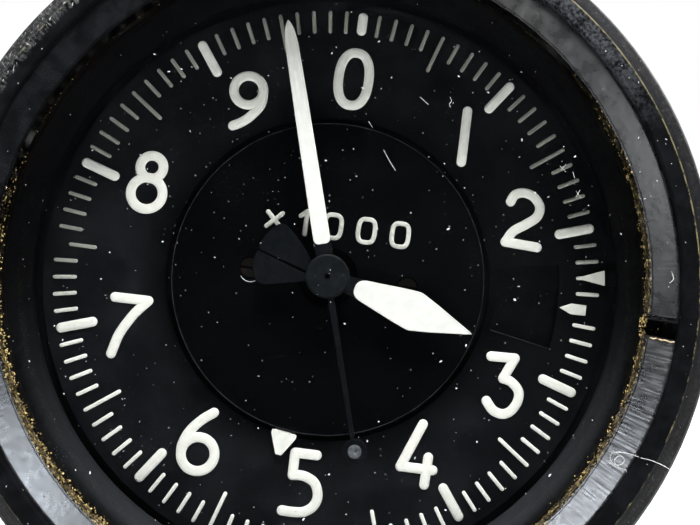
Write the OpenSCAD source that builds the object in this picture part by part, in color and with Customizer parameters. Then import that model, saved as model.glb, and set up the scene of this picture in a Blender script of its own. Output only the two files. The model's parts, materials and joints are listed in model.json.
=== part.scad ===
/* [Case] */
// Outside diameter of the body behind the panel
body_d = 80; // [80:0.5:84]
// Wall of the body
case_wall = 2.9; // [2:0.1:2.9]
// Length of the body behind the panel
body_length = 76; // [75:0.5:90]
// Thickness of the rear wall
rear_wall = 4; // [3:0.5:5]
// Widest diameter of the collar in front of the panel
collar_d = 86.2; // [84:0.2:92]
// Height of the collar's sloping shoulder
shoulder_h = 4.8; // [3:0.2:6]
// Diameter of the edge between the rim and the shoulder
rim_edge_d = 79; // [78.4:0.2:80.4]
// Diameter of the well that holds the glass
well_d = 75.2; // [75:0.1:75.6]
// How far the rim stands above the split ring
rim_lip = 0.7; // [0.3:0.1:1.5]

/* [Glass and ring] */
// Thickness of the glass
glass_t = 2.6; // [2:0.1:3.5]
// Thickness of the rubber gasket under the glass
gasket_t = 0.8; // [0.5:0.1:1.2]
// Width of the gasket
gasket_w = 2.4; // [1.6:0.1:2.6]
// Thickness of the split ring
ring_t = 1.5; // [1:0.1:2.4]
// Inside diameter of the split ring
ring_inner_d = 68.8; // [66:0.2:71]
// How far the split ring reaches into its groove
ring_groove = 0.7; // [0.4:0.05:0.8]
// Width of the split
split_w = 1.7; // [1:0.1:4]
// Height of the glossy wall between dial and glass
wall_h = 5.7; // [5.2:0.1:8]
// Inside diameter of that wall at the dial
wall_inner_d = 67.8; // [67.7:0.1:69]
// How much wider that wall is at the glass
wall_flare = 1.4; // [0.4:0.1:2]

/* [Dial] */
// Height of the dial's face above the panel
dial_height = 7; // [7:0.1:8]
// Diameter of the dial
dial_d = 66.2; // [65.6:0.1:66.3]
// Thickness of the dial
dial_t = 0.8; // [0.6:0.1:0.9]
// Outside diameter of the circle of marks
scale_d = 64; // [62:0.2:65]
// Length of a plain mark
mark_length = 2.8; // [2:0.1:3.4]
// Length of a fifth mark and of a numbered mark
long_mark_length = 4.8; // [4:0.1:5.6]
// Width of a plain mark
mark_w = 0.46; // [0.3:0.02:0.7]
// Width of a numbered mark
wide_mark_w = 1.15; // [0.8:0.05:1.5]
// Thickness of the paint
paint_t = 0.08; // [0.05:0.01:0.15]
// Diameter of the middle of the dial, inside the groove
centre_dial_d = 36.8; // [36:0.1:37]
// Width of the groove round the middle of the dial
groove_w = 0.6; // [0.5:0.05:0.8]
// Inside radius of the pressure window
window_inner_r = 19.8; // [19.6:0.1:21]
// Outside radius of the pressure window
window_outer_r = 27.2; // [26:0.1:27.6]
// Angle that the pressure window spans
window_angle = 21; // [14:1:26]
// Reading at the middle of the pressure window
window_reading = 2.5; // [2.3:0.05:2.7]
// Distance of a dial screw from the centre
dial_screw_offset = 9.3; // [8.6:0.1:9.6]

/* [Pointers] */
// Reading of the long pointer
long_reading = 9.55; // [0:0.01:9.99]
// Reading of the short pointer
short_reading = 2.9; // [0:0.01:9.99]
// Altitude in kilometres that the parts are drawn at
altitude = 2.955; // [0:0.005:10]
// Length of the long pointer
long_length = 29.95; // [26:0.1:31]
// Width of the long pointer
long_w = 2.15; // [1.6:0.05:2.6]
// Length of the short pointer
short_length = 17.9; // [15:0.1:18.2]
// Greatest width of the short pointer
short_w = 4.7; // [3.6:0.1:5.4]
// Radius of the short pointer's fan-shaped tail
fan_r = 8.4; // [7:0.1:9]
// Thickness of a pointer
pointer_t = 0.4; // [0.3:0.05:0.5]
// Height of the short pointer above the dial
short_height = 1.9; // [1.7:0.1:2.1]
// Height of the long pointer above the dial
long_height = 3.4; // [3.2:0.1:3.7]
// Altitude in kilometres that the two movable indices mark
index_altitude = 5.23; // [0:0.01:5.5]

/* [Setting knob] */
// Clock angle of the knob, in degrees from the top
knob_angle = 205; // [200:1:208]
// Diameter of the knob
knob_d = 11.2; // [10:0.2:11.4]
// Height of the knob
knob_h = 9; // [7:0.5:12]
// Number of flutes round the knob
knob_flutes = 24; // [16:2:30]
// Wall of the boss round the knob's pinion
boss_wall = 1.9; // [1.4:0.1:2.6]
// Diameter of the knob's shaft
knob_shaft_d = 4; // [3.4:0.1:4.4]

/* [Gears] */
// Size of the teeth on the ring and the knob's pinion, pitch diameter over teeth
coarse_module = 0.8; // [0.8:0.005:0.81]
// Size of the teeth on the mechanism's large gear
carrier_module = 0.65; // [0.645:0.005:0.655]
// Size of the teeth between setting wheel and pressure disc, and in the pointers' reduction
middle_module = 0.35; // [0.345:0.005:0.355]
// Size of the teeth on the kilometre index's gear
small_module = 0.3; // [0.295:0.005:0.305]
// Size of the teeth between sector and train wheel
fine_module = 0.2; // [0.195:0.005:0.2]

/* [Mechanism] */
// Diameter of the pointers' arbor
arbor_d = 1.6; // [1.4:0.1:1.6]
// Thickness of the fixed base plate
base_t = 2; // [1.6:0.1:2.2]
// Thickness of the mechanism's plates
plate_t = 1.4; // [1.2:0.1:1.6]
// Clear height between the front and the middle plate
train_gap = 8.4; // [8:0.1:9]
// Diameter of an aneroid capsule
capsule_d = 38; // [34:0.5:38]
// Thickness of a capsule at its rim and between its corrugations
capsule_t = 4.2; // [3.6:0.1:4.4]
// Number of corrugations on a capsule's face
corrugations = 5; // [4:1:6]
// Angle that the toothed sector swings from the lowest to the highest altitude
sector_swing = 40; // [36:1:40]
// Length of the lever on the rocking shaft
lever_length = 7; // [6.5:0.1:7]
// Turns of the hairspring
hairspring_turns = 6; // [4:1:8]

/* [Static port] */
// Outside diameter of the port's stub
port_d = 10; // [8:0.5:12]
// Bore of the port
port_bore_d = 4; // [3:0.5:5]
// Length of the port's stub
port_length = 12; // [8:0.5:16]
// Distance of the port from the centre
port_offset = 20; // [16:0.5:24]
// Clock angle of the port
port_angle = 330; // [300:5:360]

/* [Fits] */
// Clearance between pieces that seat in each other
seat_gap = 0.05; // [0.03:0.01:0.1]
// Clearance round a shaft or a sliding ring
running_gap = 0.05; // [0.03:0.01:0.08]
// Clearance between parts that pass each other
pass_gap = 0.3; // [0.3:0.05:0.4]
// Share of a tooth's thickness left free as play
tooth_play = 0.14; // [0.12:0.01:0.18]

/* [Hidden] */
$fn = 96;

// Radii and heights of the case, counted from the panel face towards the viewer
body_r = body_d / 2;
bore_r = body_r - case_wall;
well_r = well_d / 2;
collar_r = collar_d / 2;
rim_edge_r = rim_edge_d / 2;
groove_r = well_r + ring_groove + seat_gap;
glass_r = well_r - seat_gap;
dial_under = dial_height - dial_t;
wall_base = dial_height + 0.2;
wall_top = dial_height + wall_h;
glass_z = wall_top + gasket_t;
ring_z = glass_z + glass_t;
ring_top = ring_z + ring_t;
rim_z = ring_top + rim_lip;
rear_inner = rear_wall - body_length;
base_z = -base_t;

// Gears: teeth and pitch radii
ring_teeth = 90;
knob_teeth = 18;
idler_teeth = 10;
wheel_teeth = 39;
arbor_teeth = 13;
hub_teeth = 40;
small_teeth = 12;
index_idler_teeth = 14;
train_teeth = 72;
centre_teeth = 12;
sector_full_teeth = 240;
sector_pinion_teeth = 16;
metre_r = pitch_r(ring_teeth, coarse_module);
knob_r = metre_r + pitch_r(knob_teeth, coarse_module);
carrier_r = pitch_r(ring_teeth, carrier_module);
setting_idler_r = carrier_r + pitch_r(idler_teeth, carrier_module);
idler_to_knob = pitch_r(idler_teeth + knob_teeth, coarse_module);
setting_idler_turn = acos((knob_r * knob_r + setting_idler_r * setting_idler_r - idler_to_knob * idler_to_knob)
  / (2 * knob_r * setting_idler_r));
setting_idler_angle = knob_angle - setting_idler_turn;
wheel_offset = pitch_r(wheel_teeth + arbor_teeth, middle_module);
wheel_angle = 270;
index_idler_r = pitch_r(hub_teeth + index_idler_teeth, small_module);
index_to_wheel = pitch_r(small_teeth + index_idler_teeth, small_module);
index_idler_turn = acos((wheel_offset * wheel_offset + index_idler_r * index_idler_r
  - index_to_wheel * index_to_wheel) / (2 * wheel_offset * index_idler_r));
index_idler_angle = wheel_angle + index_idler_turn;

// Heights of the dial-side works, upwards from the base plate
gear_face = 0.8;
km_gear_z = pass_gap;
pressure_gear_z = km_gear_z + gear_face + pass_gap;
idler_gear_z = 1.4;
idler_gear_h = 1.6;
pressure_disc_t = 0.5;
km_disc_t = 0.5;
boss_flange_t = 1;
km_disc_z = dial_under - boss_flange_t - pass_gap - km_disc_t;
pressure_disc_z = km_disc_z - pass_gap - pressure_disc_t - 0.1;
metre_ring_t = 1.6;
metre_ring_z = dial_under - pass_gap - metre_ring_t;
index_z = dial_height + pass_gap;
index_t = 0.35;

// Radii of the dial-side works
arbor_r = arbor_d / 2;
pipe_inner_r = arbor_r + running_gap;
pipe_r = pipe_inner_r + 0.65;
tube_inner_r = pipe_r + running_gap;
tube_r = tube_inner_r + 1.6;
km_hub_r = tube_r + running_gap + 1.1;
pressure_hub_r = km_hub_r + running_gap + 1;
boss_flange_r = dial_screw_offset + 1.9;
centre_dial_r = centre_dial_d / 2;
dial_inner_r = centre_dial_r + groove_w;
dial_r = dial_d / 2;
pressure_disc_r = window_outer_r + 0.8;
seat_ring_inner_r = pressure_disc_r + pass_gap;
seat_ring_r = seat_ring_inner_r + 1.9;
metre_inner_r = seat_ring_r + running_gap;
km_arm_w = groove_w - 0.2;
km_arm_r = centre_dial_r + 0.1;
metre_arm_r = dial_r + 0.1;
metre_arm_w = (wall_inner_d - dial_d) / 2 - 0.2;
wheel_shaft_r = 1;

// Heights of the works below the base plate
neck_r = 24;
neck_wall = 1.5;
carrier_gear_t = 1.6;
carrier_gear_z = base_z - 1 - carrier_gear_t;
carrier_rim_r = carrier_r + 0.9 * carrier_module;
neck_ring_t = 0.7;
neck_ring_z = carrier_gear_z - pass_gap - neck_ring_t;
neck_end_z = neck_ring_z - 0.5;
km_wheel_z = base_z - 0.4 - gear_face;
reduction_pinion_h = gear_face + 0.2;
reduction_wheel_z = km_wheel_z - 0.1 - pass_gap - gear_face;
setting_gear_z = reduction_wheel_z - 2 * pass_gap - gear_face;
front_top = setting_gear_z - 0.9;
front_z = front_top - plate_t;
middle_top = front_z - train_gap;
middle_z = middle_top - plate_t;
post_r = 1.1;
post_circle = (neck_r + running_gap + carrier_rim_r) / 2 + 0.5;
front_plate_r = post_circle + post_r + 0.4;

// The gear train and the aneroid, in the mechanism's own plane
train_offset = pitch_r(train_teeth + centre_teeth, small_module);
sector_r = pitch_r(sector_full_teeth, fine_module);
sector_offset = sector_r + pitch_r(sector_pinion_teeth, fine_module) - train_offset;
rocking_x = lever_length;
rocking_y = sqrt(sector_offset * sector_offset - rocking_x * rocking_x);
train_x = -rocking_x * train_offset / sector_offset;
train_y = -rocking_y * train_offset / sector_offset;
lever_rest = sector_swing * (altitude / 10 - 0.5);
lever_pin_x = rocking_x - lever_length * cos(lever_rest);
lever_pin_y = rocking_y + lever_length * sin(lever_rest);
link_sway = lever_length * (1 - cos(sector_swing / 2)) / 2;
train_wheel_z = front_z - 3.4;
centre_pinion_z = train_wheel_z - 0.4;
hairspring_z = middle_top + 1.6;
sector_z = middle_z - 3;
sector_t = 0.8;
train_pinion_h = 1.8;
cock_z = sector_z - 2.8;
cock_t = 1.2;
shaft_r = 1.2;
pivot_r = 0.6;
rear_plate_gap = 3.4;
rear_plate_z = rear_inner + rear_plate_gap;
rear_plate_top = rear_plate_z + plate_t;
capsule_r = capsule_d / 2;
capsule_z = (sector_z + rear_plate_top) / 2 - 2.3;
bracket_t = 2;
bracket_w = 14;
bracket_y = -31;
bracket_top = bracket_y + bracket_t;
foot_h = 1.4;
capsule_low = bracket_top + foot_h;
bead_h = 1;
capsule_pitch = capsule_t + bead_h;
capsule_head_y = capsule_low + 2 * capsule_pitch - 0.05;
head_h = 1.6;
bow_rise = 3.2;
bow_t = 0.6;
link_pin_y = capsule_head_y + head_h + bow_rise + 1.9;
link_pin_x = link_sway;
link_w = 2.6;
link_t = 1;
link_z = capsule_z - link_t / 2;
lever_t = 1.2;
lever_z = link_z - pass_gap - lever_t;
pin_r = 0.6;
long_pillar_r = 2;
long_pillar_circle = 28;
short_pillar_circle = 24;

function pitch_r(teeth, size) = teeth * size / 2;
function clock(r, a) = [r * sin(a), r * cos(a)];
function roll(a) = (tan(a) - a * PI / 180) * 180 / PI;
function base_angle(teeth, size, r) = acos(min(1, pitch_r(teeth, size) * cos(20) / r));
function tooth_half(teeth, size, r) = 90 / teeth * (1 - tooth_play) + roll(20) - roll(base_angle(teeth, size, r));
function spread(r, a) = [r * cos(a), r * sin(a)];
function mate_phase(phase, teeth, mate_teeth, heading) =
  heading + 180 - 180 / mate_teeth + (heading - phase) * teeth / mate_teeth;
function heading_of(from, to) = atan2(to[1] - from[1], to[0] - from[0]);
function curve(cx, cy, r, from, to, n) =
  [for (i = [0 : n]) [cx + r * cos(from + (to - from) * i / n), cy + r * sin(from + (to - from) * i / n)]];

// Centres of the wheels and the heading from one to the next
centre = [0, 0];
knob_at = clock(knob_r, knob_angle);
setting_idler_at = clock(setting_idler_r, setting_idler_angle);
wheel_at = clock(wheel_offset, wheel_angle);
index_idler_at = clock(index_idler_r, index_idler_angle);
train_at = [train_x, train_y];
rocking_at = [rocking_x, rocking_y];

// Where the teeth stand, so that each pair is in mesh
knob_phase = 0;
metre_phase = mate_phase(knob_phase, knob_teeth, ring_teeth, heading_of(knob_at, centre));
idler_top_phase = mate_phase(knob_phase, knob_teeth, idler_teeth, heading_of(knob_at, setting_idler_at));
carrier_phase = mate_phase(0, idler_teeth, ring_teeth, heading_of(setting_idler_at, centre));
setting_low_phase = mate_phase(0, arbor_teeth, wheel_teeth, heading_of(centre, wheel_at));
reduction_phase = mate_phase(0, arbor_teeth, wheel_teeth, heading_of(centre, wheel_at));
km_wheel_phase = mate_phase(0, small_teeth, hub_teeth, heading_of(wheel_at, centre));
index_idler_phase = mate_phase(0, small_teeth, index_idler_teeth, heading_of(wheel_at, index_idler_at));
km_gear_phase = mate_phase(index_idler_phase, index_idler_teeth, hub_teeth, heading_of(index_idler_at, centre));
train_phase = mate_phase(0, centre_teeth, train_teeth, heading_of(centre, train_at));
sector_heading = heading_of(rocking_at, train_at);
sector_phase = mate_phase(0, sector_pinion_teeth, sector_full_teeth, heading_of(train_at, rocking_at));

// Basic shapes
module face_on() {
  rotate([90, 0, 0]) children();
}

module disc(r, low, high) {
  translate([0, 0, low]) cylinder(r = r, h = high - low);
}

module collar(outer, inner, low, high) {
  difference() {
    disc(outer, low, high);
    disc(inner, low - 1, high + 1);
  }
}

module at(point) {
  translate([point[0], point[1], 0]) children();
}

module at_clock(r, a) {
  at(clock(r, a)) children();
}

module turned(a) {
  rotate([0, 0, -a]) children();
}

module plate(low, high) {
  translate([0, 0, low]) linear_extrude(high - low) children();
}

module rod(from, to, w) {
  length = norm(to - from);
  translate([from[0], from[1]]) rotate(atan2(to[1] - from[1], to[0] - from[0])) {
    translate([0, -w / 2]) square([length, w]);
    circle(d = w);
    translate([length, 0]) circle(d = w);
  }
}

// A gear's outline with involute flanks, or straight ones on a large gear
function tooth(teeth, size, a) =
  let (
    pitch = pitch_r(teeth, size),
    tip = pitch + 0.9 * size,
    root = pitch - 1.1 * size,
    low = max(root, pitch * cos(20)),
    tip_half = tooth_half(teeth, size, tip),
    root_half = tooth_half(teeth, size, low),
    pitch_half = tooth_half(teeth, size, pitch)
  )
  teeth > 50
    ? [spread(root, a - root_half), spread(tip, a - tip_half), spread(tip, a + tip_half), spread(root, a + root_half)]
    : [spread(root, a - root_half), spread(pitch, a - pitch_half), spread(tip, a - tip_half),
       spread(tip, a + tip_half), spread(pitch, a + pitch_half), spread(root, a + root_half)];

module gear_outline(teeth, size, phase) {
  polygon([for (i = [0 : teeth - 1]) for (p = tooth(teeth, size, phase + i * 360 / teeth)) p]);
}

module gear(teeth, size, phase, low, high) {
  plate(low, high) gear_outline(teeth, size, phase);
}

// Case, glass and what holds it
module case_body() {
  rotate_extrude() polygon(concat(
    [[0, -body_length]],
    curve(body_r - 3, 3 - body_length, 3, -90, 0, 5),
    [[body_r, 0], [collar_r - 0.5, 0], [collar_r, 0.5], [collar_r, rim_z - shoulder_h]],
    [[collar_r - 0.9, rim_z - shoulder_h + 1.6], [rim_edge_r + 1.1, rim_z - 1.3], [rim_edge_r + 0.25, rim_z - 0.35]],
    [[rim_edge_r, rim_z], [well_r + 0.2, rim_z], [well_r, rim_z - 0.2], [well_r, ring_top]],
    [[groove_r, ring_top], [groove_r, ring_z], [well_r, ring_z], [well_r, wall_base], [bore_r, wall_base]],
    [[bore_r, rear_inner + 2], [bore_r - 2, rear_inner], [0, rear_inner]]
  ));
}

// The boss holds the knob's pinion in a pocket, and above it a narrower bore that stays clear of the well
boss_r = gear_tip_r(knob_teeth, coarse_module) + pass_gap + boss_wall;
boss_top = dial_height + 8;
pocket_r = boss_r - boss_wall;
pocket_floor = 1.2;
pocket_top = metre_ring_z + metre_ring_t + pass_gap;
boss_bore_r = knob_r - groove_r - 0.5;
boss_inner_r = well_r + 1;
module knob_boss() {
  difference() {
    union() {
      at(knob_at) {
        disc(boss_r, 0, boss_top - 1);
        translate([0, 0, boss_top - 1]) cylinder(r1 = boss_r, r2 = boss_r - 1, h = 1);
      }
      turned(knob_angle) translate([1 - boss_r, bore_r, 0]) cube([2 * boss_r - 2, knob_r - bore_r, boss_top - 1.6]);
    }
    disc(boss_inner_r, -1, boss_top + 1);
  }
}

lug_angles = [25, 145, 265];
screw_head_r = 1.6;
screw_head_h = 1;
lug_r = bore_r - screw_head_r - 1.1;
lug_w = 6;
lug_h = 8;
screw_r = 0.9;
module base_lugs() {
  for (a = lug_angles) plate(base_z - lug_h, base_z) rod(clock(lug_r, a), clock(bore_r + 1, a), lug_w);
}

module case_shell() {
  color("#202124") face_on() difference() {
    union() {
      case_body();
      knob_boss();
      intersection() {
        base_lugs();
        disc(bore_r + 0.5, base_z - lug_h - 1, base_z + 1);
      }
    }
    at(knob_at) {
      disc(pocket_r, pocket_floor, pocket_top);
      disc(boss_bore_r, pocket_top - 1, rim_z + 1);
      disc(knob_pivot_r + running_gap, pocket_floor - 0.8, pocket_floor + 1);
    }
    turned(knob_angle) translate([0.4 - pocket_r, bore_r - 2, pocket_floor])
      cube([2 * pocket_r - 0.8, knob_r - bore_r + 2, pocket_top - pocket_floor]);
    for (a = lug_angles) at_clock(lug_r, a) disc(screw_r + seat_gap, base_z - lug_h + 1, base_z + 1);
    at_clock(port_offset, port_angle) disc(port_thread_r + seat_gap, -body_length - 1, rear_inner + 1);
  }
}

module glass() {
  color("#dfeaf0", 0.35) face_on() disc(glass_r, glass_z, ring_z);
}

module glass_gasket() {
  color("#161616") face_on() collar(well_r - seat_gap, well_r - seat_gap - gasket_w, wall_top, glass_z);
}

// The ring's ends are cut on a slant, so that the split is wider in front
split_clock = 91.9;
split_slant = 0.5;
module split_ring() {
  color("#2b2c30") face_on() difference() {
    collar(well_r + ring_groove, ring_inner_d / 2, ring_z, ring_top);
    turned(split_clock) translate([0, ring_inner_d / 2 - 2, ring_z]) rotate([-90, 0, 0])
      linear_extrude(ring_groove + 8) polygon([
        [-split_w / 2, 0.5], [-split_w / 2, 0], [-split_w / 2 - split_slant, -ring_t - 0.1],
        [split_w / 2 + split_slant, -ring_t - 0.1], [split_w / 2, 0], [split_w / 2, 0.5]
      ]);
  }
}

module spacer_ring() {
  color("#111214") face_on() rotate_extrude() polygon([
    [wall_inner_d / 2, wall_base], [well_r - seat_gap, wall_base], [well_r - seat_gap, wall_top],
    [wall_inner_d / 2 + wall_flare, wall_top], [wall_inner_d / 2 + wall_flare, wall_top - 0.6],
    [wall_inner_d / 2, wall_base + 0.8]
  ]);
}

// The fixed base plate with its tube, neck and holes
plate_r = bore_r - seat_gap;
module base_plate() {
  color("#b9a26a") face_on() difference() {
    union() {
      disc(plate_r, base_z, 0);
      disc(tube_r, base_z, dial_under);
      collar(neck_r, neck_r - neck_wall, neck_end_z, base_z + 0.2);
    }
    disc(tube_inner_r, base_z - 1, dial_under + 1);
    collar(neck_r + 1, neck_r - 0.6, neck_ring_z - 0.05, neck_ring_z + neck_ring_t + 0.05);
    at(wheel_at) disc(wheel_shaft_r + running_gap, base_z - 1, 1);
    at(setting_idler_at) disc(idler_shaft_r + running_gap, base_z - 1, 1);
    at(index_idler_at) disc(index_stud_r + running_gap, base_z - 1, 1);
    for (a = lug_angles) at_clock(lug_r, a) disc(screw_r + seat_gap, base_z - 1, 1);
  }
}

module slotted_screw(low, seat, r, head_r, head_h) {
  difference() {
    union() {
      disc(r, low, seat + 0.1);
      disc(head_r, seat, seat + head_h);
    }
    translate([-head_r - 1, -0.15 * head_r, seat + head_h * 0.6]) cube([2 * head_r + 2, 0.3 * head_r, head_h]);
  }
}

module base_screws() {
  color("#c8c8c4") face_on() for (a = lug_angles)
    at_clock(lug_r, a) slotted_screw(base_z - 6, 0, screw_r, screw_head_r, screw_head_h);
}

// The seat ring carries the dial, and on a ledge the toothed ring of the metre index
ledge_w = 1.4;
ledge_h = 0.6;
module dial_seat_ring() {
  color("#a98f57") face_on() difference() {
    union() {
      collar(seat_ring_r, seat_ring_inner_r, 0, dial_under);
      collar(seat_ring_r + ledge_w, seat_ring_r - 0.2, metre_ring_z - pass_gap - ledge_h, metre_ring_z - pass_gap);
    }
    at(setting_idler_at) disc(gear_tip_r(idler_teeth, coarse_module) + pass_gap, idler_gear_z - pass_gap,
      idler_gear_z + idler_gear_h + pass_gap);
  }
}
function gear_tip_r(teeth, size) = pitch_r(teeth, size) + 0.9 * size;

// Dial, its marks and its screws
window_clock = window_reading * 36;
module window_outline(inner, outer, angle) {
  polygon(concat(
    [for (i = [0 : 8]) clock(outer, window_clock - angle / 2 + angle * i / 8)],
    [for (i = [0 : 8]) clock(inner, window_clock + angle / 2 - angle * i / 8)]
  ));
}

module dial_ring() {
  color("#23262b") face_on() difference() {
    collar(dial_r, dial_inner_r, dial_under, dial_height);
    plate(dial_under - 1, dial_height + 1) window_outline(window_inner_r, window_outer_r, window_angle);
  }
}

module dial_centre() {
  color("#23262b") face_on() difference() {
    disc(centre_dial_r, dial_under, dial_height);
    disc(tube_r + 0.3, dial_under - 1, dial_height + 1);
    for (side = [-1, 1]) translate([side * dial_screw_offset, 0, 0]) {
      disc(dial_screw_r + seat_gap, dial_under - 1, dial_height + 1);
      disc(dial_screw_head_r + 0.15, dial_height - 0.5, dial_height + 1);
    }
  }
}

mark_end_r = scale_d / 2;
module mark(reading, w, length, short_of = 0) {
  polygon_from = clock(mark_end_r - length + w / 2, reading * 36);
  polygon_to = clock(mark_end_r - short_of - w / 2, reading * 36);
  rod(polygon_from, polygon_to, w);
}

// The marks at 0 and 5 are short, and the one at 7.5 ends before the circle of marks.
// The fixed index stands at the middle of the window in place of that mark
module fixed_index() {
  w = 1.3;
  tip = mark_end_r - long_mark_length + 0.15;
  base = mark_end_r - 1.4;
  turned(window_clock) polygon([[-w / 2, base], [w / 2, base], [w / 2, tip + 1.4], [0, tip], [-w / 2, tip + 1.4]]);
}

module dial_marks() {
  color("#e8e4d6") face_on() plate(dial_height, dial_height + paint_t) {
    for (i = [0 : 99]) {
      numbered = i % 10 == 0;
      fifth = i % 5 == 0;
      if (abs(i / 10 - window_reading) > 0.01) {
        mark(i / 10, numbered ? wide_mark_w : mark_w, i % 50 == 0 || !fifth ? mark_length : long_mark_length,
          i == 75 ? 1.5 : 0);
      }
    }
    fixed_index();
  }
}

module dial_boss() {
  color("#a98f57") face_on() difference() {
    collar(boss_flange_r, tube_r + seat_gap, dial_under - boss_flange_t, dial_under);
    for (side = [-1, 1]) translate([side * dial_screw_offset, 0, 0])
      disc(dial_screw_r + seat_gap, dial_under - boss_flange_t - 1, dial_under + 1);
  }
}

dial_screw_r = 0.6;
dial_screw_head_r = 1.1;
module dial_screws() {
  color("#8c7448") face_on() for (side = [-1, 1]) translate([side * dial_screw_offset, 0, 0]) difference() {
    union() {
      disc(dial_screw_r, dial_under - boss_flange_t, dial_height - 0.4);
      disc(dial_screw_head_r, dial_height - 0.5, dial_height - 0.05);
    }
    translate([-2, -0.15, dial_height - 0.25]) cube([4, 0.3, 1]);
  }
}

module neck_ring() {
  color("#8e8e8c") face_on() difference() {
    collar(neck_r + 1.2, neck_r - 0.6 + seat_gap, neck_ring_z, neck_ring_z + neck_ring_t);
    translate([-1.5, neck_r - 3, neck_ring_z - 1]) cube([3, 6, neck_ring_t + 2]);
  }
}

// Static port at the rear
port_thread_r = 6;
port_hex_r = 8.6;
port_hex_h = 5;
port_seal_t = 0.8;
port_face = -body_length;
module static_port() {
  color("#9a9a96") face_on() at_clock(port_offset, port_angle) difference() {
    union() {
      disc(port_thread_r, port_face - port_seal_t - 0.1, rear_inner + 1.5);
      translate([0, 0, port_face - port_seal_t - port_hex_h]) cylinder(r = port_hex_r, h = port_hex_h, $fn = 6);
      disc(port_d / 2, port_face - port_seal_t - port_hex_h - port_length, port_face - port_seal_t - 1);
    }
    disc(port_bore_d / 2, port_face - 60, 5);
    translate([0, 0, port_face - port_seal_t - port_hex_h - port_length - 0.1])
      cylinder(r1 = port_bore_d / 2 + 1.1, r2 = port_bore_d / 2, h = 1.8);
  }
}

module port_seal() {
  color("#4a1c14") face_on() at_clock(port_offset, port_angle)
    collar(port_hex_r - 0.9, port_thread_r + seat_gap, port_face - port_seal_t, port_face);
}

// Knob, its gland and its shaft
knob_shaft_r = knob_shaft_d / 2;
knob_pivot_r = 1.3;
bushing_low = pocket_top + 0.2;
gland_cup_r = knob_shaft_r + 1.1;
gland_cup_depth = 3;
bushing_top = boss_top - 1.5;
module knob_bushing() {
  color("#3a3a3c") face_on() at(knob_at) difference() {
    disc(boss_bore_r - seat_gap, bushing_low, bushing_top);
    disc(knob_shaft_r + running_gap, bushing_low - 1, bushing_top + 1);
    disc(gland_cup_r, bushing_top - gland_cup_depth, bushing_top + 1);
  }
}

packing_t = 1.2;
module gland_packing() {
  color("#6d6452") face_on() at(knob_at)
    collar(gland_cup_r - seat_gap, knob_shaft_r + running_gap, bushing_top - gland_cup_depth,
      bushing_top - gland_cup_depth + packing_t);
}

gland_nut_low = bushing_top - gland_cup_depth + packing_t;
gland_nut_top = bushing_top + 0.8;
module gland_nut() {
  color("#55534d") face_on() at(knob_at) difference() {
    disc(gland_cup_r - seat_gap, gland_nut_low, gland_nut_top);
    disc(knob_shaft_r + running_gap, gland_nut_low - 1, gland_nut_top + 1);
    translate([-gland_cup_r - 1, -0.4, gland_nut_top - 0.4]) cube([2 * gland_cup_r + 2, 0.8, 1]);
  }
}

// The knob's grip stands clear above the rim, on a hub that goes down into the boss
knob_low = rim_z + 0.5;
knob_top = knob_low + knob_h;
knob_hub_r = knob_shaft_r + 1.2;
module knob() {
  flute_r = knob_d * 0.045;
  color("#17181a") face_on() at(knob_at) difference() {
    union() {
      disc(knob_hub_r, gland_nut_top + 0.4, knob_low + 0.1);
      disc(knob_d / 2 - 0.6, knob_low, knob_low + 0.6);
      disc(knob_d / 2, knob_low + 0.6, knob_top - 1.2);
      translate([0, 0, knob_top - 1.2]) cylinder(r1 = knob_d / 2, r2 = knob_d / 2 - 1.2, h = 1.2);
    }
    for (i = [0 : knob_flutes - 1])
      rotate([0, 0, i * 360 / knob_flutes]) translate([knob_d / 2 + flute_r * 0.4, 0, 0])
        disc(flute_r, knob_low - 1, knob_top + 1);
    disc(knob_shaft_r + seat_gap, gland_nut_top - 1, knob_top - 1.6);
    translate([0, 0, (knob_low + knob_top) / 2]) rotate([90, 0, 0]) cylinder(r = knob_screw_r + seat_gap, h = knob_d);
  }
}

knob_screw_r = 0.9;
module knob_screw() {
  color("#6f6f6b") face_on() at(knob_at) translate([0, -knob_shaft_r - 0.1, (knob_low + knob_top) / 2]) rotate([90, 0, 0])
    difference() {
      cylinder(r = knob_screw_r, h = knob_d / 2 - knob_shaft_r - 1.3);
      translate([-2, -0.15, knob_d / 2 - knob_shaft_r - 1.8]) cube([4, 0.3, 2]);
    }
}

module knob_shaft() {
  color("#b5a36e") face_on() at(knob_at) {
    gear(knob_teeth, coarse_module, knob_phase, idler_gear_z - 0.1, metre_ring_z + metre_ring_t + 0.1);
    disc(knob_pivot_r, pocket_floor - 0.7, idler_gear_z);
    disc(knob_shaft_r, metre_ring_z + metre_ring_t, knob_top - 1.7);
  }
}

// Wheels that carry the setting to the mechanism and to the indices
idler_shaft_r = 1.3;
module setting_idler() {
  color("#c6a75c") face_on() at(setting_idler_at) {
    gear(idler_teeth, coarse_module, idler_top_phase, idler_gear_z, idler_gear_z + idler_gear_h);
    disc(idler_shaft_r + 0.7, 0.1, idler_gear_z);
    disc(idler_shaft_r, carrier_gear_z - 0.6, 0.5);
    gear(idler_teeth, carrier_module, 0, carrier_gear_z - 0.3, base_z - pass_gap);
  }
}

metre_clock = (index_altitude - floor(index_altitude)) * 360;
module metre_ring() {
  color("#b08f4e") face_on() difference() {
    gear(ring_teeth, coarse_module, metre_phase, metre_ring_z, metre_ring_z + metre_ring_t);
    disc(metre_inner_r, metre_ring_z - 1, metre_ring_z + metre_ring_t + 1);
  }
}

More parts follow.
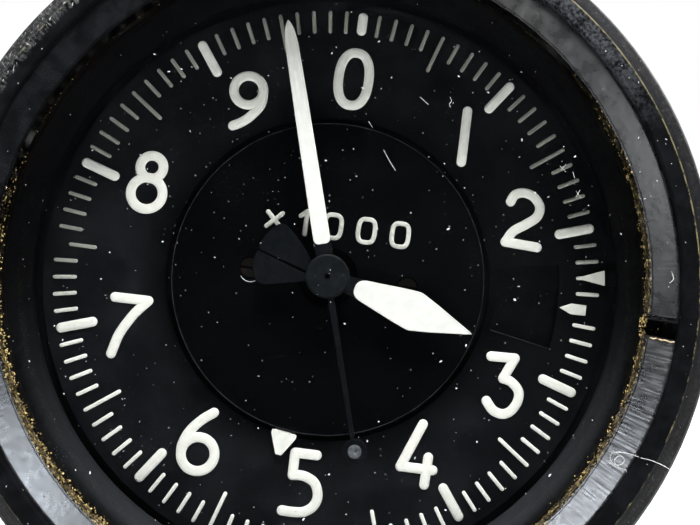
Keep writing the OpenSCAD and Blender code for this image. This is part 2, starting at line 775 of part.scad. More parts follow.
module metre_index() {
  w = 1.75;
  base = mark_end_r + 0.4;
  tip = mark_end_r - 2.9;
  foot = metre_ring_z + metre_ring_t;
  color("#ece9dc") face_on() turned(metre_clock) {
    translate([-w / 2, metre_arm_r, foot]) cube([w, metre_arm_w, index_z + index_t - foot]);
    plate(index_z, index_z + index_t)
      polygon([[-w / 2, metre_arm_r + 0.1], [w / 2, metre_arm_r + 0.1], [w / 2, base], [0, tip], [-w / 2, base]]);
  }
}

km_clock = index_altitude * 36;
module km_disc() {
  color("#b08f4e") face_on() difference() {
    union() {
      gear(hub_teeth, small_module, km_gear_phase, km_gear_z, km_gear_z + gear_face);
      disc(km_hub_r, km_gear_z + gear_face - 0.1, km_disc_z + 0.1);
      disc(km_arm_r + km_arm_w, km_disc_z, km_disc_z + km_disc_t);
    }
    disc(tube_r + running_gap, -1, dial_height);
  }
}

module km_index() {
  w = 2.9;
  arm_w = 2.4;
  base = km_arm_r + km_arm_w;
  tip = base + 2.2;
  foot = km_disc_z + km_disc_t;
  color("#ece9dc") face_on() turned(km_clock) {
    translate([-arm_w / 2, km_arm_r, foot]) cube([arm_w, km_arm_w, index_z + index_t - foot]);
    plate(index_z, index_z + index_t)
      polygon([[-w / 2, km_arm_r], [w / 2, km_arm_r], [w / 2, base], [0.35, tip], [-0.35, tip], [-w / 2, base]]);
  }
}

module pressure_disc() {
  color("#1b1c1f") face_on() difference() {
    union() {
      gear(hub_teeth, middle_module, mate_phase(0, small_teeth, hub_teeth, heading_of(wheel_at, centre)),
        pressure_gear_z, pressure_gear_z + gear_face);
      disc(pressure_hub_r, pressure_gear_z + gear_face - 0.1, pressure_disc_z + 0.1);
      disc(pressure_disc_r, pressure_disc_z, pressure_disc_z + pressure_disc_t);
    }
    disc(km_hub_r + running_gap, -1, dial_height);
  }
}

index_stud_r = 0.7;
module index_idler() {
  color("#c6a75c") face_on() at(index_idler_at) {
    gear(index_idler_teeth, small_module, index_idler_phase, km_gear_z, km_gear_z + gear_face);
    disc(index_stud_r, base_z, km_gear_z + 0.1);
  }
}

module setting_wheel() {
  color("#c6a75c") face_on() at(wheel_at) {
    disc(wheel_shaft_r, setting_gear_z - 0.3, pressure_gear_z + gear_face);
    gear(wheel_teeth, middle_module, setting_low_phase, setting_gear_z, setting_gear_z + gear_face);
    disc(wheel_shaft_r + 0.6, 0.1, km_gear_z);
    gear(small_teeth, small_module, 0, km_gear_z - 0.1, km_gear_z + gear_face + 0.1);
    gear(small_teeth, middle_module, 0, pressure_gear_z - 0.1, pressure_gear_z + gear_face + 0.1);
  }
}

module reduction_wheel() {
  color("#d0b26a") face_on() at(wheel_at) difference() {
    union() {
      gear(wheel_teeth, middle_module, reduction_phase, reduction_wheel_z, reduction_wheel_z + gear_face);
      gear(small_teeth, middle_module, 0, reduction_wheel_z + gear_face - 0.1, km_wheel_z + gear_face + 0.1);
    }
    disc(wheel_shaft_r + running_gap, reduction_wheel_z - 1, 0);
  }
}

short_z = dial_height + short_height;
module km_wheel() {
  color("#d0b26a") face_on() difference() {
    union() {
      gear(hub_teeth, middle_module, km_wheel_phase, km_wheel_z, km_wheel_z + gear_face);
      disc(pipe_r, km_wheel_z + 0.1, short_z + 0.1);
    }
    disc(pipe_inner_r, km_wheel_z - 1, short_z + 1);
  }
}

// Pointers
long_z = dial_height + long_height;
long_clock = long_reading * 36;
short_clock = short_reading * 36;
module short_outline() {
  shoulder = 10.8;
  root = 3.2;
  polygon([
    [-1.15, root - 3], [-1.15, root + 0.6], [-short_w / 2, shoulder - 0.5], [-short_w / 2 + 0.15, shoulder + 0.4],
    [-0.2, short_length], [0.2, short_length], [short_w / 2 - 0.15, shoulder + 0.4], [short_w / 2, shoulder - 0.5],
    [1.15, root + 0.6], [1.15, root - 3]
  ]);
}

fan_span = 34;
module fan_outline() {
  difference() {
    polygon(concat([[0, 0]], [for (i = [0 : 16]) clock(fan_r, 180 - fan_span + 2 * fan_span * i / 16)]));
    rotate(4) translate([-0.17, -fan_r - 1]) square([0.34, fan_r - 2.4]);
  }
}

module short_pointer() {
  color("#e9e7dd") face_on() turned(short_clock) difference() {
    union() {
      plate(short_z, short_z + pointer_t) union() {
        short_outline();
        fan_outline();
        circle(r = 2.9);
      }
      disc(pipe_r + 0.7, short_z - 0.7, short_z + pointer_t);
    }
    disc(pipe_r + seat_gap, short_z - 1, short_z + 0.1 + seat_gap);
    disc(pipe_inner_r, short_z - 1, short_z + 1);
  }
}

tail_r = 20;
module long_outline() {
  half = long_w / 2;
  right = [[half * 0.16, long_length], [half * 0.38, long_length - 0.35 * half], [half * 0.58, long_length - 0.9 * half],
    [half * 0.82, long_length - 1.9 * half], [half, long_length - 3 * half], [half, 3]];
  polygon(concat(right, [for (i = [len(right) - 1 : -1 : 0]) [-right[i][0], right[i][1]]]));
  polygon([[-0.8, 0], [0.8, 0], [0.8, 3.1], [-0.8, 3.1]]);
  polygon([[-0.5, 0], [-0.28, -tail_r], [0.28, -tail_r], [0.5, 0]]);
  translate([0, -tail_r]) circle(r = 1.1);
}

module long_pointer() {
  color("#f2f1ea") face_on() turned(long_clock) difference() {
    union() {
      plate(long_z, long_z + pointer_t) union() {
        long_outline();
        circle(r = 2.4);
      }
      disc(1.7, long_z - 0.5, long_z + 0.1);
    }
    disc(arbor_r + seat_gap, long_z - 1, long_z + 1);
  }
}

cap_t = 0.5;
collet_r = 1.7;
module pointer_cap() {
  color("#3c3f44") face_on() difference() {
    union() {
      disc(2.5, long_z + pointer_t, long_z + pointer_t + cap_t - 0.15);
      translate([0, 0, long_z + pointer_t + cap_t - 0.15]) cylinder(r1 = 2.5, r2 = 2.3, h = 0.15);
    }
    disc(0.3, long_z, long_z + 2);
  }
}

module pointer_arbor() {
  color("#c9c9c6") face_on() {
    disc(arbor_r, middle_z + 0.3, long_z + pointer_t);
    gear(centre_teeth, small_module, 0, centre_pinion_z, centre_pinion_z + 1.6);
    gear(arbor_teeth, middle_module, 0, reduction_wheel_z - 0.1, reduction_wheel_z + gear_face + 0.1);
    disc(collet_r, hairspring_z - 0.3, hairspring_z + 1.1);
  }
}

// The carrier that turns with the knob
module carrier_gear() {
  color("#b08f4e") face_on() difference() {
    gear(ring_teeth, carrier_module, carrier_phase, carrier_gear_z, carrier_gear_z + carrier_gear_t);
    disc(neck_r + running_gap, carrier_gear_z - 1, carrier_gear_z + carrier_gear_t + 1);
  }
}

post_angles = [70, 190, 310];
module carrier_posts() {
  color("#9b8452") face_on() for (a = post_angles)
    at_clock(post_circle, a) disc(post_r, front_top, carrier_gear_z);
}

short_pillar_angles = [20, 120, 270];
long_pillar_angles = [100, 260, 345];
module plate_disc(r, z) {
  disc(r, z, z + plate_t);
}

module front_plate() {
  color("#b9a26a") face_on() difference() {
    union() {
      plate_disc(front_plate_r, front_z);
      gear(arbor_teeth, middle_module, 0, front_top - 0.1, setting_gear_z + gear_face + 0.1);
    }
    disc(arbor_r + running_gap, front_z - 1, setting_gear_z + 3);
    at(train_at) disc(pivot_r + running_gap, front_z - 1, front_top + 1);
    for (a = [150, 330]) at_clock(16, a) disc(4.5, front_z - 1, front_top + 1);
  }
}

middle_plate_r = long_pillar_circle + long_pillar_r + 0.6;
module middle_plate() {
  color("#b9a26a") face_on() difference() {
    plate_disc(middle_plate_r, middle_z);
    disc(arbor_r + running_gap, middle_z + 0.2, middle_top + 1);
    at(train_at) disc(train_arbor_r + pass_gap, middle_z - 1, middle_top + 1);
    at(rocking_at) disc(pivot_r + running_gap, middle_z - 1, middle_top + 1);
    for (a = [40, 160, 300]) at_clock(20.5, a) disc(3.6, middle_z - 1, middle_top + 1);
  }
}

module rear_plate() {
  color("#b9a26a") face_on() difference() {
    plate_disc(long_pillar_circle + long_pillar_r + 0.6, rear_plate_z);
    at(rocking_at) disc(pivot_r + running_gap, rear_plate_z - 1, rear_plate_top + 1);
    at([0, -6]) disc(11, rear_plate_z - 1, rear_plate_top + 1);
  }
}

module short_pillars() {
  color("#9b8452") face_on() for (a = short_pillar_angles)
    at_clock(short_pillar_circle, a) disc(1.8, middle_top, front_z);
}

module long_pillars() {
  color("#9b8452") face_on() for (a = long_pillar_angles)
    at_clock(long_pillar_circle, a) disc(long_pillar_r, rear_plate_top, middle_z);
}

module plate_screws() {
  color("#c8c8c4") face_on() for (a = long_pillar_angles) {
    at_clock(long_pillar_circle, a) {
      slotted_screw(middle_top, middle_top, 1.4, 1.4, 0.8);
      mirror([0, 0, 1]) slotted_screw(-rear_plate_z, -rear_plate_z, 1.4, 1.4, 0.8);
    }
  }
}

// Aneroid stack
module capsule_bracket() {
  color("#a3a39e") face_on()
    translate([-bracket_w / 2 + link_pin_x, bracket_y, rear_plate_top]) cube([bracket_w, bracket_t, middle_z - rear_plate_top]);
}

module upright(y) {
  translate([link_pin_x, y, capsule_z]) rotate([-90, 0, 0]) children();
}

// One capsule: two corrugated faces that meet at a flat rim, with a bead at the middle
wave_h = 0.45;
rim_w = 1.6;
bead_r = 3;
function wave(r) = wave_h * sin(corrugations * 360 * (r - bead_r) / (capsule_r - rim_w - bead_r));
function face_h(r) = capsule_t / 2 - wave_h - 0.25 + wave(r);
wave_steps = corrugations * 6;
module capsule(low) {
  mid = low + capsule_pitch / 2;
  inner = [for (i = [0 : wave_steps]) bead_r + (capsule_r - rim_w - bead_r) * i / wave_steps];
  upright(0) rotate_extrude() polygon(concat(
    [[0, mid + capsule_pitch / 2 - 0.05], [bead_r - 0.4, mid + capsule_pitch / 2 - 0.05]],
    [for (r = inner) [r, mid + face_h(r)]],
    [[capsule_r - rim_w + 0.3, mid + 0.3], [capsule_r, mid + 0.3], [capsule_r, mid - 0.3], [capsule_r - rim_w + 0.3, mid - 0.3]],
    [for (i = [wave_steps : -1 : 0]) [inner[i], mid - face_h(inner[i])]],
    [[bead_r - 0.4, mid - capsule_pitch / 2 + 0.05], [0, mid - capsule_pitch / 2 + 0.05]]
  ));
}

module lower_capsule() {
  color("#c2b280") face_on() capsule(capsule_low);
}

module upper_capsule() {
  color("#c2b280") face_on() capsule(capsule_low + capsule_pitch);
}

module capsule_foot() {
  color("#9a9a96") face_on() upright(0) disc(4, bracket_top, capsule_low);
}

// Head of the aneroid with the temperature-compensating bow
head_half = 8;
module capsule_head() {
  color("#a3a39e") face_on() upright(capsule_head_y) {
    disc(3, 0, head_h);
    translate([-head_half, -1.6, 0.4]) cube([2 * head_half, 3.2, head_h - 0.4]);
  }
}

module bimetal_bow() {
  top = capsule_head_y + head_h;
  color("#b87844") face_on() {
    translate([link_pin_x, 0, capsule_z - 1.6]) linear_extrude(3.2) difference() {
      polygon([[-head_half, top], [-head_half, top + 0.8], [-head_half + 3, top + bow_rise], [head_half - 3, top + bow_rise],
        [head_half, top + 0.8], [head_half, top]]);
      polygon([[-head_half + bow_t + 0.4, top - 1], [-head_half + bow_t + 0.4, top + 0.6], [-head_half + 3.2, top + bow_rise - bow_t],
        [head_half - 3.2, top + bow_rise - bow_t], [head_half - bow_t - 0.4, top + 0.6], [head_half - bow_t - 0.4, top - 1]]);
    }
    translate([link_pin_x - 1.4, top + bow_rise, lever_z - 0.2]) cube([2.8, 3.2, lever_t + 0.2]);
    translate([link_pin_x, link_pin_y, 0]) disc(pin_r, lever_z, link_z + link_t + 0.2);
  }
}

// Link between the head and the rocking lever, with play at its lower eye
link_eye_r = pin_r + link_sway + 0.12;
module link() {
  color("#c9c9c6") face_on() plate(link_z, link_z + link_t) difference() {
    union() {
      rod([lever_pin_x, lever_pin_y], [lever_pin_x, link_pin_y + 1], link_w * 0.6);
      translate([lever_pin_x, lever_pin_y]) circle(r = link_w / 2);
      translate([lever_pin_x, link_pin_y]) circle(r = link_eye_r + 0.7);
    }
    translate([lever_pin_x, lever_pin_y]) circle(r = pin_r + running_gap);
    translate([lever_pin_x, link_pin_y]) circle(r = link_eye_r);
  }
}

// Rocking shaft with sector, lever and weight
module rocking_shaft() {
  color("#c9c9c6") face_on() at(rocking_at) {
    disc(pivot_r, rear_plate_z, middle_top);
    disc(shaft_r, rear_plate_top + 0.4, middle_z - 0.4);
  }
}

sector_half = sector_swing / 2 + 4;
sector_centre = sector_heading - lever_rest * 1;
module toothed_sector() {
  count = floor(sector_half / (360 / sector_full_teeth));
  start = round((sector_centre - sector_phase) / (360 / sector_full_teeth));
  rim_in = sector_r - 3;
  color("#d0b26a") face_on() at(rocking_at) difference() {
    union() {
      plate(sector_z, sector_z + sector_t) {
        polygon(concat(
          [for (i = [-count : count]) for (p = tooth(sector_full_teeth, fine_module,
            sector_phase + (start + i) * 360 / sector_full_teeth)) p],
          [for (i = [0 : 12]) spread(rim_in, sector_centre + sector_half - sector_half * i / 6)]
        ));
        for (side = [-1, 1]) rod([0, 0], spread(rim_in + 0.6, sector_centre + side * (sector_half - 3)), 1.8);
        circle(r = 3.4);
      }
      disc(2.6, sector_z - 0.9, sector_z + sector_t + 0.9);
    }
    disc(shaft_r + seat_gap, sector_z - 3, sector_z + 3);
  }
}

module rocking_lever() {
  color("#c9c9c6") face_on() difference() {
    union() {
      plate(lever_z, lever_z + lever_t) {
        rod([rocking_x, rocking_y], [lever_pin_x, lever_pin_y], 2.2);
        translate(rocking_at) circle(r = 2.8);
      }
      at(rocking_at) disc(2.4, lever_z - 0.8, lever_z + lever_t + 0.8);
      translate([lever_pin_x, lever_pin_y, 0]) disc(pin_r, lever_z, link_z + link_t + 0.2);
    }
    at(rocking_at) disc(shaft_r + seat_gap, lever_z - 3, lever_z + 3);
  }
}

weight_arm = 8.5;
weight_z = sector_z - 6;
module balance_weight() {
  out = spread(weight_arm, sector_centre + 180);
  color("#8f8456") face_on() at(rocking_at) difference() {
    union() {
      plate(weight_z, weight_z + 0.9) {
        rod([0, 0], out, 1.6);
        circle(r = 2.6);
      }
      translate([out[0], out[1], 0]) disc(2.6, weight_z - 2.2, weight_z + 2.6);
      disc(2.2, weight_z - 0.8, weight_z + 1.7);
    }
    disc(shaft_r + seat_gap, weight_z - 3, weight_z + 4);
  }
}

// Train wheel, its cock and the hairspring
train_arbor_r = 0.7;
module train_wheel() {
  color("#d0b26a") face_on() at(train_at) {
    difference() {
      gear(train_teeth, small_module, train_phase, train_wheel_z, train_wheel_z + gear_face);
      for (i = [0 : 4]) rotate([0, 0, i * 72]) translate([6, 0, 0]) disc(2.5, train_wheel_z - 1, train_wheel_z + 2);
    }
    disc(pivot_r, cock_z, front_top - 0.2);
    disc(train_arbor_r, cock_z + cock_t + 0.3, front_z - 0.3);
    gear(sector_pinion_teeth, fine_module, 0, sector_z - 0.5, sector_z - 0.5 + train_pinion_h);
  }
}

cock_leg_at = [train_x * 1.72, train_y * 1.72];
module train_cock() {
  color("#9b8452") face_on() difference() {
    union() {
      plate(cock_z, cock_z + cock_t) rod(train_at, cock_leg_at, 3.6);
      at(cock_leg_at) disc(1.6, cock_z + 0.2, middle_z);
    }
    at(train_at) disc(pivot_r + running_gap, cock_z - 1, cock_z + cock_t + 1);
  }
}

spring_t = 0.14;
spring_h = 0.8;
spring_in = collet_r + spring_t / 2 + 0.03;
spring_out = 6.4;
function spring_at(i, side) = spread(spring_in + (spring_out - spring_in) * i + side * spring_t / 2, i * hairspring_turns * 360);
module hairspring() {
  steps = hairspring_turns * 24;
  color("#6c7f9c") face_on() plate(hairspring_z, hairspring_z + spring_h) polygon(concat(
    [for (i = [0 : steps]) spring_at(i / steps, 1)],
    [for (i = [steps : -1 : 0]) spring_at(i / steps, -1)]
  ));
}

module hairspring_stud() {
  color("#9b8452") face_on() translate([spring_out + spring_t / 2 + 0.9 + 0.02, 0, 0])
    disc(0.9, middle_top, hairspring_z + spring_h + 0.3);
}

case_shell();  // case
glass();
glass_gasket();
split_ring();
spacer_ring();
base_plate();
base_screws();
dial_seat_ring();
dial_ring();
dial_centre();
dial_marks();
dial_boss();
dial_screws();
neck_ring();
static_port();
port_seal();
knob_bushing();
gland_packing();
gland_nut();
knob();
knob_shaft();
knob_screw();
setting_idler();
metre_ring();
metre_index();
km_disc();
km_index();
pressure_disc();
index_idler();
setting_wheel();
reduction_wheel();
km_wheel();
short_pointer();
pointer_arbor();
long_pointer();
pointer_cap();
carrier_gear();
carrier_posts();
front_plate();
middle_plate();
rear_plate();
short_pillars();
long_pillars();
plate_screws();
capsule_bracket();
lower_capsule();
upper_capsule();
capsule_foot();
train_wheel();
train_cock();
hairspring();
hairspring_stud();
rocking_shaft();
toothed_sector();
rocking_lever();
balance_weight();
link();
capsule_head();
bimetal_bow();
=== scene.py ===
import json
import math
import random
import bmesh
import bpy
from mathutils import Matrix, Vector


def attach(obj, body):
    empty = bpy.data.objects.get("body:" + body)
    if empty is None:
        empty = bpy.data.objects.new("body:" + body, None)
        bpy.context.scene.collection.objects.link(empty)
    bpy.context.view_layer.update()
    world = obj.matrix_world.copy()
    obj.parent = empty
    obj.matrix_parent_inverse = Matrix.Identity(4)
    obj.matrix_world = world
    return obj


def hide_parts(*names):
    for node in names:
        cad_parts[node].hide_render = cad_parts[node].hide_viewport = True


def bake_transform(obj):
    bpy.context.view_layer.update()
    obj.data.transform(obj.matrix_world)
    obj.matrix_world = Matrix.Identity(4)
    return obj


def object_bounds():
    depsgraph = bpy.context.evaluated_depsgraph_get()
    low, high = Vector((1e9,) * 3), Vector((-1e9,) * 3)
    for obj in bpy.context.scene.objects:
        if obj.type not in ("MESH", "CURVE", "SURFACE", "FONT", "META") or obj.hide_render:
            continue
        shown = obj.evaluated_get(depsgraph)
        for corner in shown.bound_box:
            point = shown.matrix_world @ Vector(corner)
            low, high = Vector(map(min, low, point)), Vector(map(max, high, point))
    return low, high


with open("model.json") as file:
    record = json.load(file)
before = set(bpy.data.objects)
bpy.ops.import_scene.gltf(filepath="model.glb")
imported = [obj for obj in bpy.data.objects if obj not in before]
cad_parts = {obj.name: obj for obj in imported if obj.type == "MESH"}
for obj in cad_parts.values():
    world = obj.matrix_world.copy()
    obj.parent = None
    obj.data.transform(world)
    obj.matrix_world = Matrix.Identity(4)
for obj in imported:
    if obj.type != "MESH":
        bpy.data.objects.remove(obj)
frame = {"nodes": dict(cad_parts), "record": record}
cad_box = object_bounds()

# Lengths below are millimetres in the dial's own plane: x to the right, y up, h from the panel plane to the viewer.
# Angles are clock angles in degrees: 0 is up and they grow to the right.
DIAL, GLASS_TOP, RING_TOP, RIM = 7.0, 16.1, 17.6, 18.3  # heights of the faces
SCALE_R = 32.0  # outer end of the marks
RING_FOOT_R = 34.46  # where the ring's inner face meets the glass
RIM_EDGE_R = 39.5  # machined edge between rim and shoulder
SHOULDER_H = 12.8  # the collar's slope starts above this
SPLIT_ANGLE, LIP_ANGLE = 91.9, 93.72  # middle of the ring's split and its lower lip
LONG_ANGLE, SHORT_ANGLE = 9.547 * 36, 2.90 * 36  # the pointers' readings, in turns of a tenth
LONG_LOW, LONG_TOP, SHORT_LOW, SHORT_TOP = 10.4, 10.8, 8.9, 9.3  # faces of the pointers' plates
TAIL_R = 19.75  # middle of the long pointer's disc
GROOVE_R = 18.27  # rim of the dial's middle, where a painted highlight line runs
WORD_Y = 6.03  # middle of the multiplier above the hub
ARBOR_BORE, PIPE_BORE = 0.85, 1.55  # radii
TURN = 2 * math.pi


def place(x, y, h):
    """World metres of a point given in the dial's plane."""
    return (x / 1000, -h / 1000, y / 1000)


def clock(r, a):
    """x and y at a radius and a clock angle."""
    return (r * math.sin(math.radians(a)), r * math.cos(math.radians(a)))


def add_node(tree, kind, inputs=None, **settings):
    """A new node with its settings; each input, by name or number, is a value or another node's output."""
    n = tree.nodes.new("ShaderNode" + kind)
    for key, value in settings.items():
        setattr(n, key, value)
    for key, value in (inputs or {}).items():
        put(tree, n.inputs[key], value)
    return n


def put(tree, socket, value):
    if hasattr(value, "links"):
        tree.links.new(value, socket)
    elif isinstance(value, tuple) and len(value) == 3 and socket.type == "RGBA":
        socket.default_value = (*value, 1)
    else:
        socket.default_value = value


def calc(tree, kind, a, b=0.0, c=0.0):
    return add_node(tree, "Math", {0: a, 1: b, 2: c}, operation=kind).outputs[0]


def smooth_step(tree, value, low, high, a=0.0, b=1.0):
    """Goes smoothly from a, below low, to b, above high."""
    return add_node(tree, "MapRange", {"Value": value, "From Min": low, "From Max": high, "To Min": a, "To Max": b},
                    interpolation_type="SMOOTHSTEP").outputs[0]


def linked(name, data):
    """A new object in the scene."""
    o = bpy.data.objects.new(name, data)
    bpy.context.scene.collection.objects.link(o)
    return o


# ---- materials
class Paint:
    """One node material. Coordinates are the object's own, in millimetres."""

    def __init__(self, name):
        self.material = bpy.data.materials.new(name)
        self.material.use_nodes = True
        self.tree = self.material.node_tree
        self.shader = self.tree.nodes["Principled BSDF"]
        self.output = self.tree.nodes["Material Output"]
        where = self.node("TexCoord")
        self.mm = self.node("VectorMath", {0: where.outputs["Object"], "Scale": 1000}, operation="SCALE").outputs[0]
        self.x, self.y, self.z = self.node("SeparateXYZ", {0: self.mm}).outputs

    def node(self, kind, inputs=None, **settings):
        return add_node(self.tree, kind, inputs, **settings)

    def math(self, kind, a, b=0.0, c=0.0):
        return calc(self.tree, kind, a, b, c)

    def plus(self, a, b):
        return self.math("ADD", a, b)

    def minus(self, a, b):
        return self.math("SUBTRACT", a, b)

    def times(self, a, b):
        return self.math("MULTIPLY", a, b)

    def most(self, a, b):
        return self.math("MAXIMUM", a, b)

    def step(self, value, low, high, a=0.0, b=1.0):
        return smooth_step(self.tree, value, low, high, a, b)

    def noise(self, scale, detail=2.0, roughness=0.5, at=None, distortion=0.0):
        return self.node("TexNoise", {"Vector": at or self.mm, "Scale": scale, "Detail": detail, "Roughness": roughness,
                                      "Distortion": distortion}).outputs[0]

    def cells(self, scale):
        """Distance from the middle of the nearest cell, and two values of its own between 0 and 1."""
        n = self.node("TexVoronoi", {"Vector": self.mm, "Scale": scale})
        parts = self.node("SeparateColor", {0: n.outputs["Color"]})
        return n.outputs["Distance"], parts.outputs[0], parts.outputs[1]

    def specks(self, scale, size, share):
        """Round specks of a given size in cell widths, in only a share of the cells."""
        distance, lot, _ = self.cells(scale)
        return self.times(self.step(distance, size * 0.6, size, 1.0, 0.0), self.math("LESS_THAN", lot, share))

    def grains(self, scale, share):
        """Scattered grains, each with its own brightness; share of the cells may vary over the surface."""
        distance, lot, tint = self.cells(scale)
        grain = self.times(self.step(distance, 0.42, 0.60, 1.0, 0.0), self.math("LESS_THAN", lot, share))
        return grain, self.math("POWER", tint, 2.6)

    def mix(self, factor, a, b):
        return self.node("Mix", {0: factor, 6: a, 7: b}, data_type="RGBA").outputs[2]

    def clouds(self, scale, dark, light):
        """A slow noise and a colour that drifts with it between two shades."""
        cloud = self.noise(scale, 4, 0.6)
        return cloud, self.mix(self.step(cloud, 0.3, 0.7), dark, light)

    def stain(self, scale, low, share):
        """Blotches that cover a share of what lies under them."""
        return self.times(self.step(self.noise(scale, 5, 0.7), low, 0.72), share)

    def stretched(self, sx, sy, sz):
        return self.node("VectorMath", {0: self.mm, 1: (sx, sy, sz)}, operation="MULTIPLY").outputs[0]

    def radius(self):
        return self.math("SQRT", self.plus(self.times(self.x, self.x), self.times(self.z, self.z)))

    def height(self):
        return self.times(self.y, -1.0)

    def turn(self):
        return self.math("ARCTAN2", self.x, self.z)

    def radial_vector(self, per_mm_round, per_mm_out):
        """For streaks that run outwards: fine round the ring, coarse along the radius."""
        mean_r = 37.0
        return self.node("CombineXYZ", {0: self.times(self.turn(), mean_r * per_mm_round),
                                        1: self.times(self.radius(), per_mm_out),
                                        2: self.times(self.y, per_mm_out)}).outputs[0]

    def turned_vector(self):
        """Radius, height and a slow turn, for marks that run round the axis."""
        return self.node("CombineXYZ", {0: self.radius(), 1: self.y, 2: self.times(self.turn(), 1.5)}).outputs[0]

    def around(self, angle, spread):
        """One at a clock angle, falling to zero at the given spread on both sides."""
        s, c = clock(1.0, angle)
        along = self.plus(self.times(self.x, s), self.times(self.z, c))
        return self.step(self.math("DIVIDE", along, self.radius()), math.cos(math.radians(spread)), 1.0)

    def bump(self, height, strength, distance_mm, under=None):
        inputs = {"Strength": strength, "Distance": distance_mm / 1000, "Height": height}
        if under:
            inputs["Normal"] = under
        return self.node("Bump", inputs).outputs[0]

    def finish(self, colour, roughness, metallic=0.0, normal=None, **more):
        sockets = {"Base Color": colour, "Roughness": roughness, "Metallic": metallic}
        if normal:
            sockets["Normal"] = normal
        sockets.update({key.replace("_", " "): value for key, value in more.items()})
        for key, value in sockets.items():
            put(self.tree, self.shader.inputs[key], value)
        return self.material

    def coat(self, base, fine, cloud, rough_low, rough_high, strength, distance_mm, shine=0.5):
        """Ordinary paint: its roughness follows the fine noise, its relief both."""
        rough = self.step(fine, 0.3, 0.7, rough_low, rough_high)
        normal = self.bump(self.plus(fine, cloud), strength, distance_mm)
        return self.finish(base, rough, 0.0, normal, Specular_IOR_Level=shine)


def case_enamel():
    p = Paint("case_enamel")
    r, h = p.radius(), p.height()
    patches = p.noise(0.35, 4, 0.62)
    fine = p.noise(3.2, 4, 0.6)
    # the machined edge between rim and shoulder, rubbed through to bright metal, most of all at the right
    near_edge = p.step(p.math("ABSOLUTE", p.minus(r, RIM_EDGE_R)), 0.04, 0.15, 1, 0)
    edge = p.times(near_edge, p.step(h, RIM - 0.4, RIM - 0.25))
    wear = p.plus(p.noise(0.5, 4, 0.7), p.minus(p.times(p.around(45, 60), 0.20), 0.05))
    edge = p.times(edge, p.step(p.plus(wear, p.times(p.minus(fine, 0.5), 0.5)), 0.46, 0.72))
    # chalky rubbed slope with short bright scratches, strongest at the upper left where it eats into the rim
    upper_left = p.around(305, 50)
    ragged = p.times(p.minus(p.noise(1.1, 4, 0.65), 0.5), 1.6)
    reach = p.plus(p.plus(r, ragged), p.times(upper_left, 1.3))
    slope = p.times(p.step(reach, 39.9, 40.3), p.step(h, SHOULDER_H, SHOULDER_H + 0.6))
    rubbed = p.times(slope, p.plus(0.12, p.times(upper_left, 0.88)))
    hair = p.noise(1.0, 3, 0.6, at=p.radial_vector(3.2, 0.55))
    mottle = p.times(rubbed, p.step(p.plus(p.times(hair, 0.6), p.times(fine, 0.4)), 0.44, 0.62))
    long_scratch = p.noise(1.0, 2, 0.5, at=p.stretched(5.0, 2.0, 1.1))
    scratch = p.times(p.most(p.step(long_scratch, 0.665, 0.70), p.step(hair, 0.66, 0.72)), rubbed)
    flecks = p.times(p.specks(1.6, 0.14, 0.07), p.step(h, 0.2, 1.0))
    base = p.mix(p.step(patches, 0.35, 0.7), (0.0030, 0.0032, 0.0040), (0.0070, 0.0074, 0.0090))
    # painted sheen: a dull bluish lighter patch on the rim at the upper right
    rim_sheen = p.times(p.around(28, 34), p.step(p.plus(p.times(fine, 0.6), p.times(patches, 0.4)), 0.38, 0.62))
    rim_sheen = p.times(rim_sheen, p.times(p.step(r, 39.4, 39.8, 1, 0), p.step(h, 17.4, 17.9)))
    base = p.mix(p.times(rim_sheen, 0.8), base, (0.075, 0.080, 0.090))
    # painted sheen: a lighter grey band at the outer edge of the slope
    outer_slope_sheen = p.times(p.step(r, 42.3, 42.8), p.step(h, SHOULDER_H, SHOULDER_H + 0.6))
    base = p.mix(p.times(outer_slope_sheen, p.step(fine, 0.35, 0.6, 0.2, 0.8)), base, (0.10, 0.10, 0.10))
    base = p.mix(p.times(mottle, 0.65), base, (0.10, 0.103, 0.105))
    base = p.mix(p.times(scratch, 0.8), base, (0.50, 0.50, 0.48))
    base = p.mix(p.times(flecks, 0.7), base, (0.50, 0.50, 0.46))
    base = p.mix(p.times(edge, 0.8), base, (0.30, 0.26, 0.13))
    rough = p.step(p.plus(p.times(patches, 0.5), p.times(fine, 0.5)), 0.35, 0.65, 0.46, 0.62)
    relief = p.plus(p.plus(p.times(fine, 0.5), p.noise(0.9, 3, 0.5)), p.times(mottle, 0.4))
    normal = p.bump(relief, 0.5, 0.09)
    normal = p.bump(p.minus(1.0, p.most(edge, p.times(flecks, 0.6))), 0.5, 0.04, normal)
    return p.finish(base, rough, p.times(edge, 0.4), normal, Specular_IOR_Level=0.02,
                    Coat_Weight=p.step(h, 11.5, 12.6, 0.75, 0.0), Coat_Roughness=0.38)


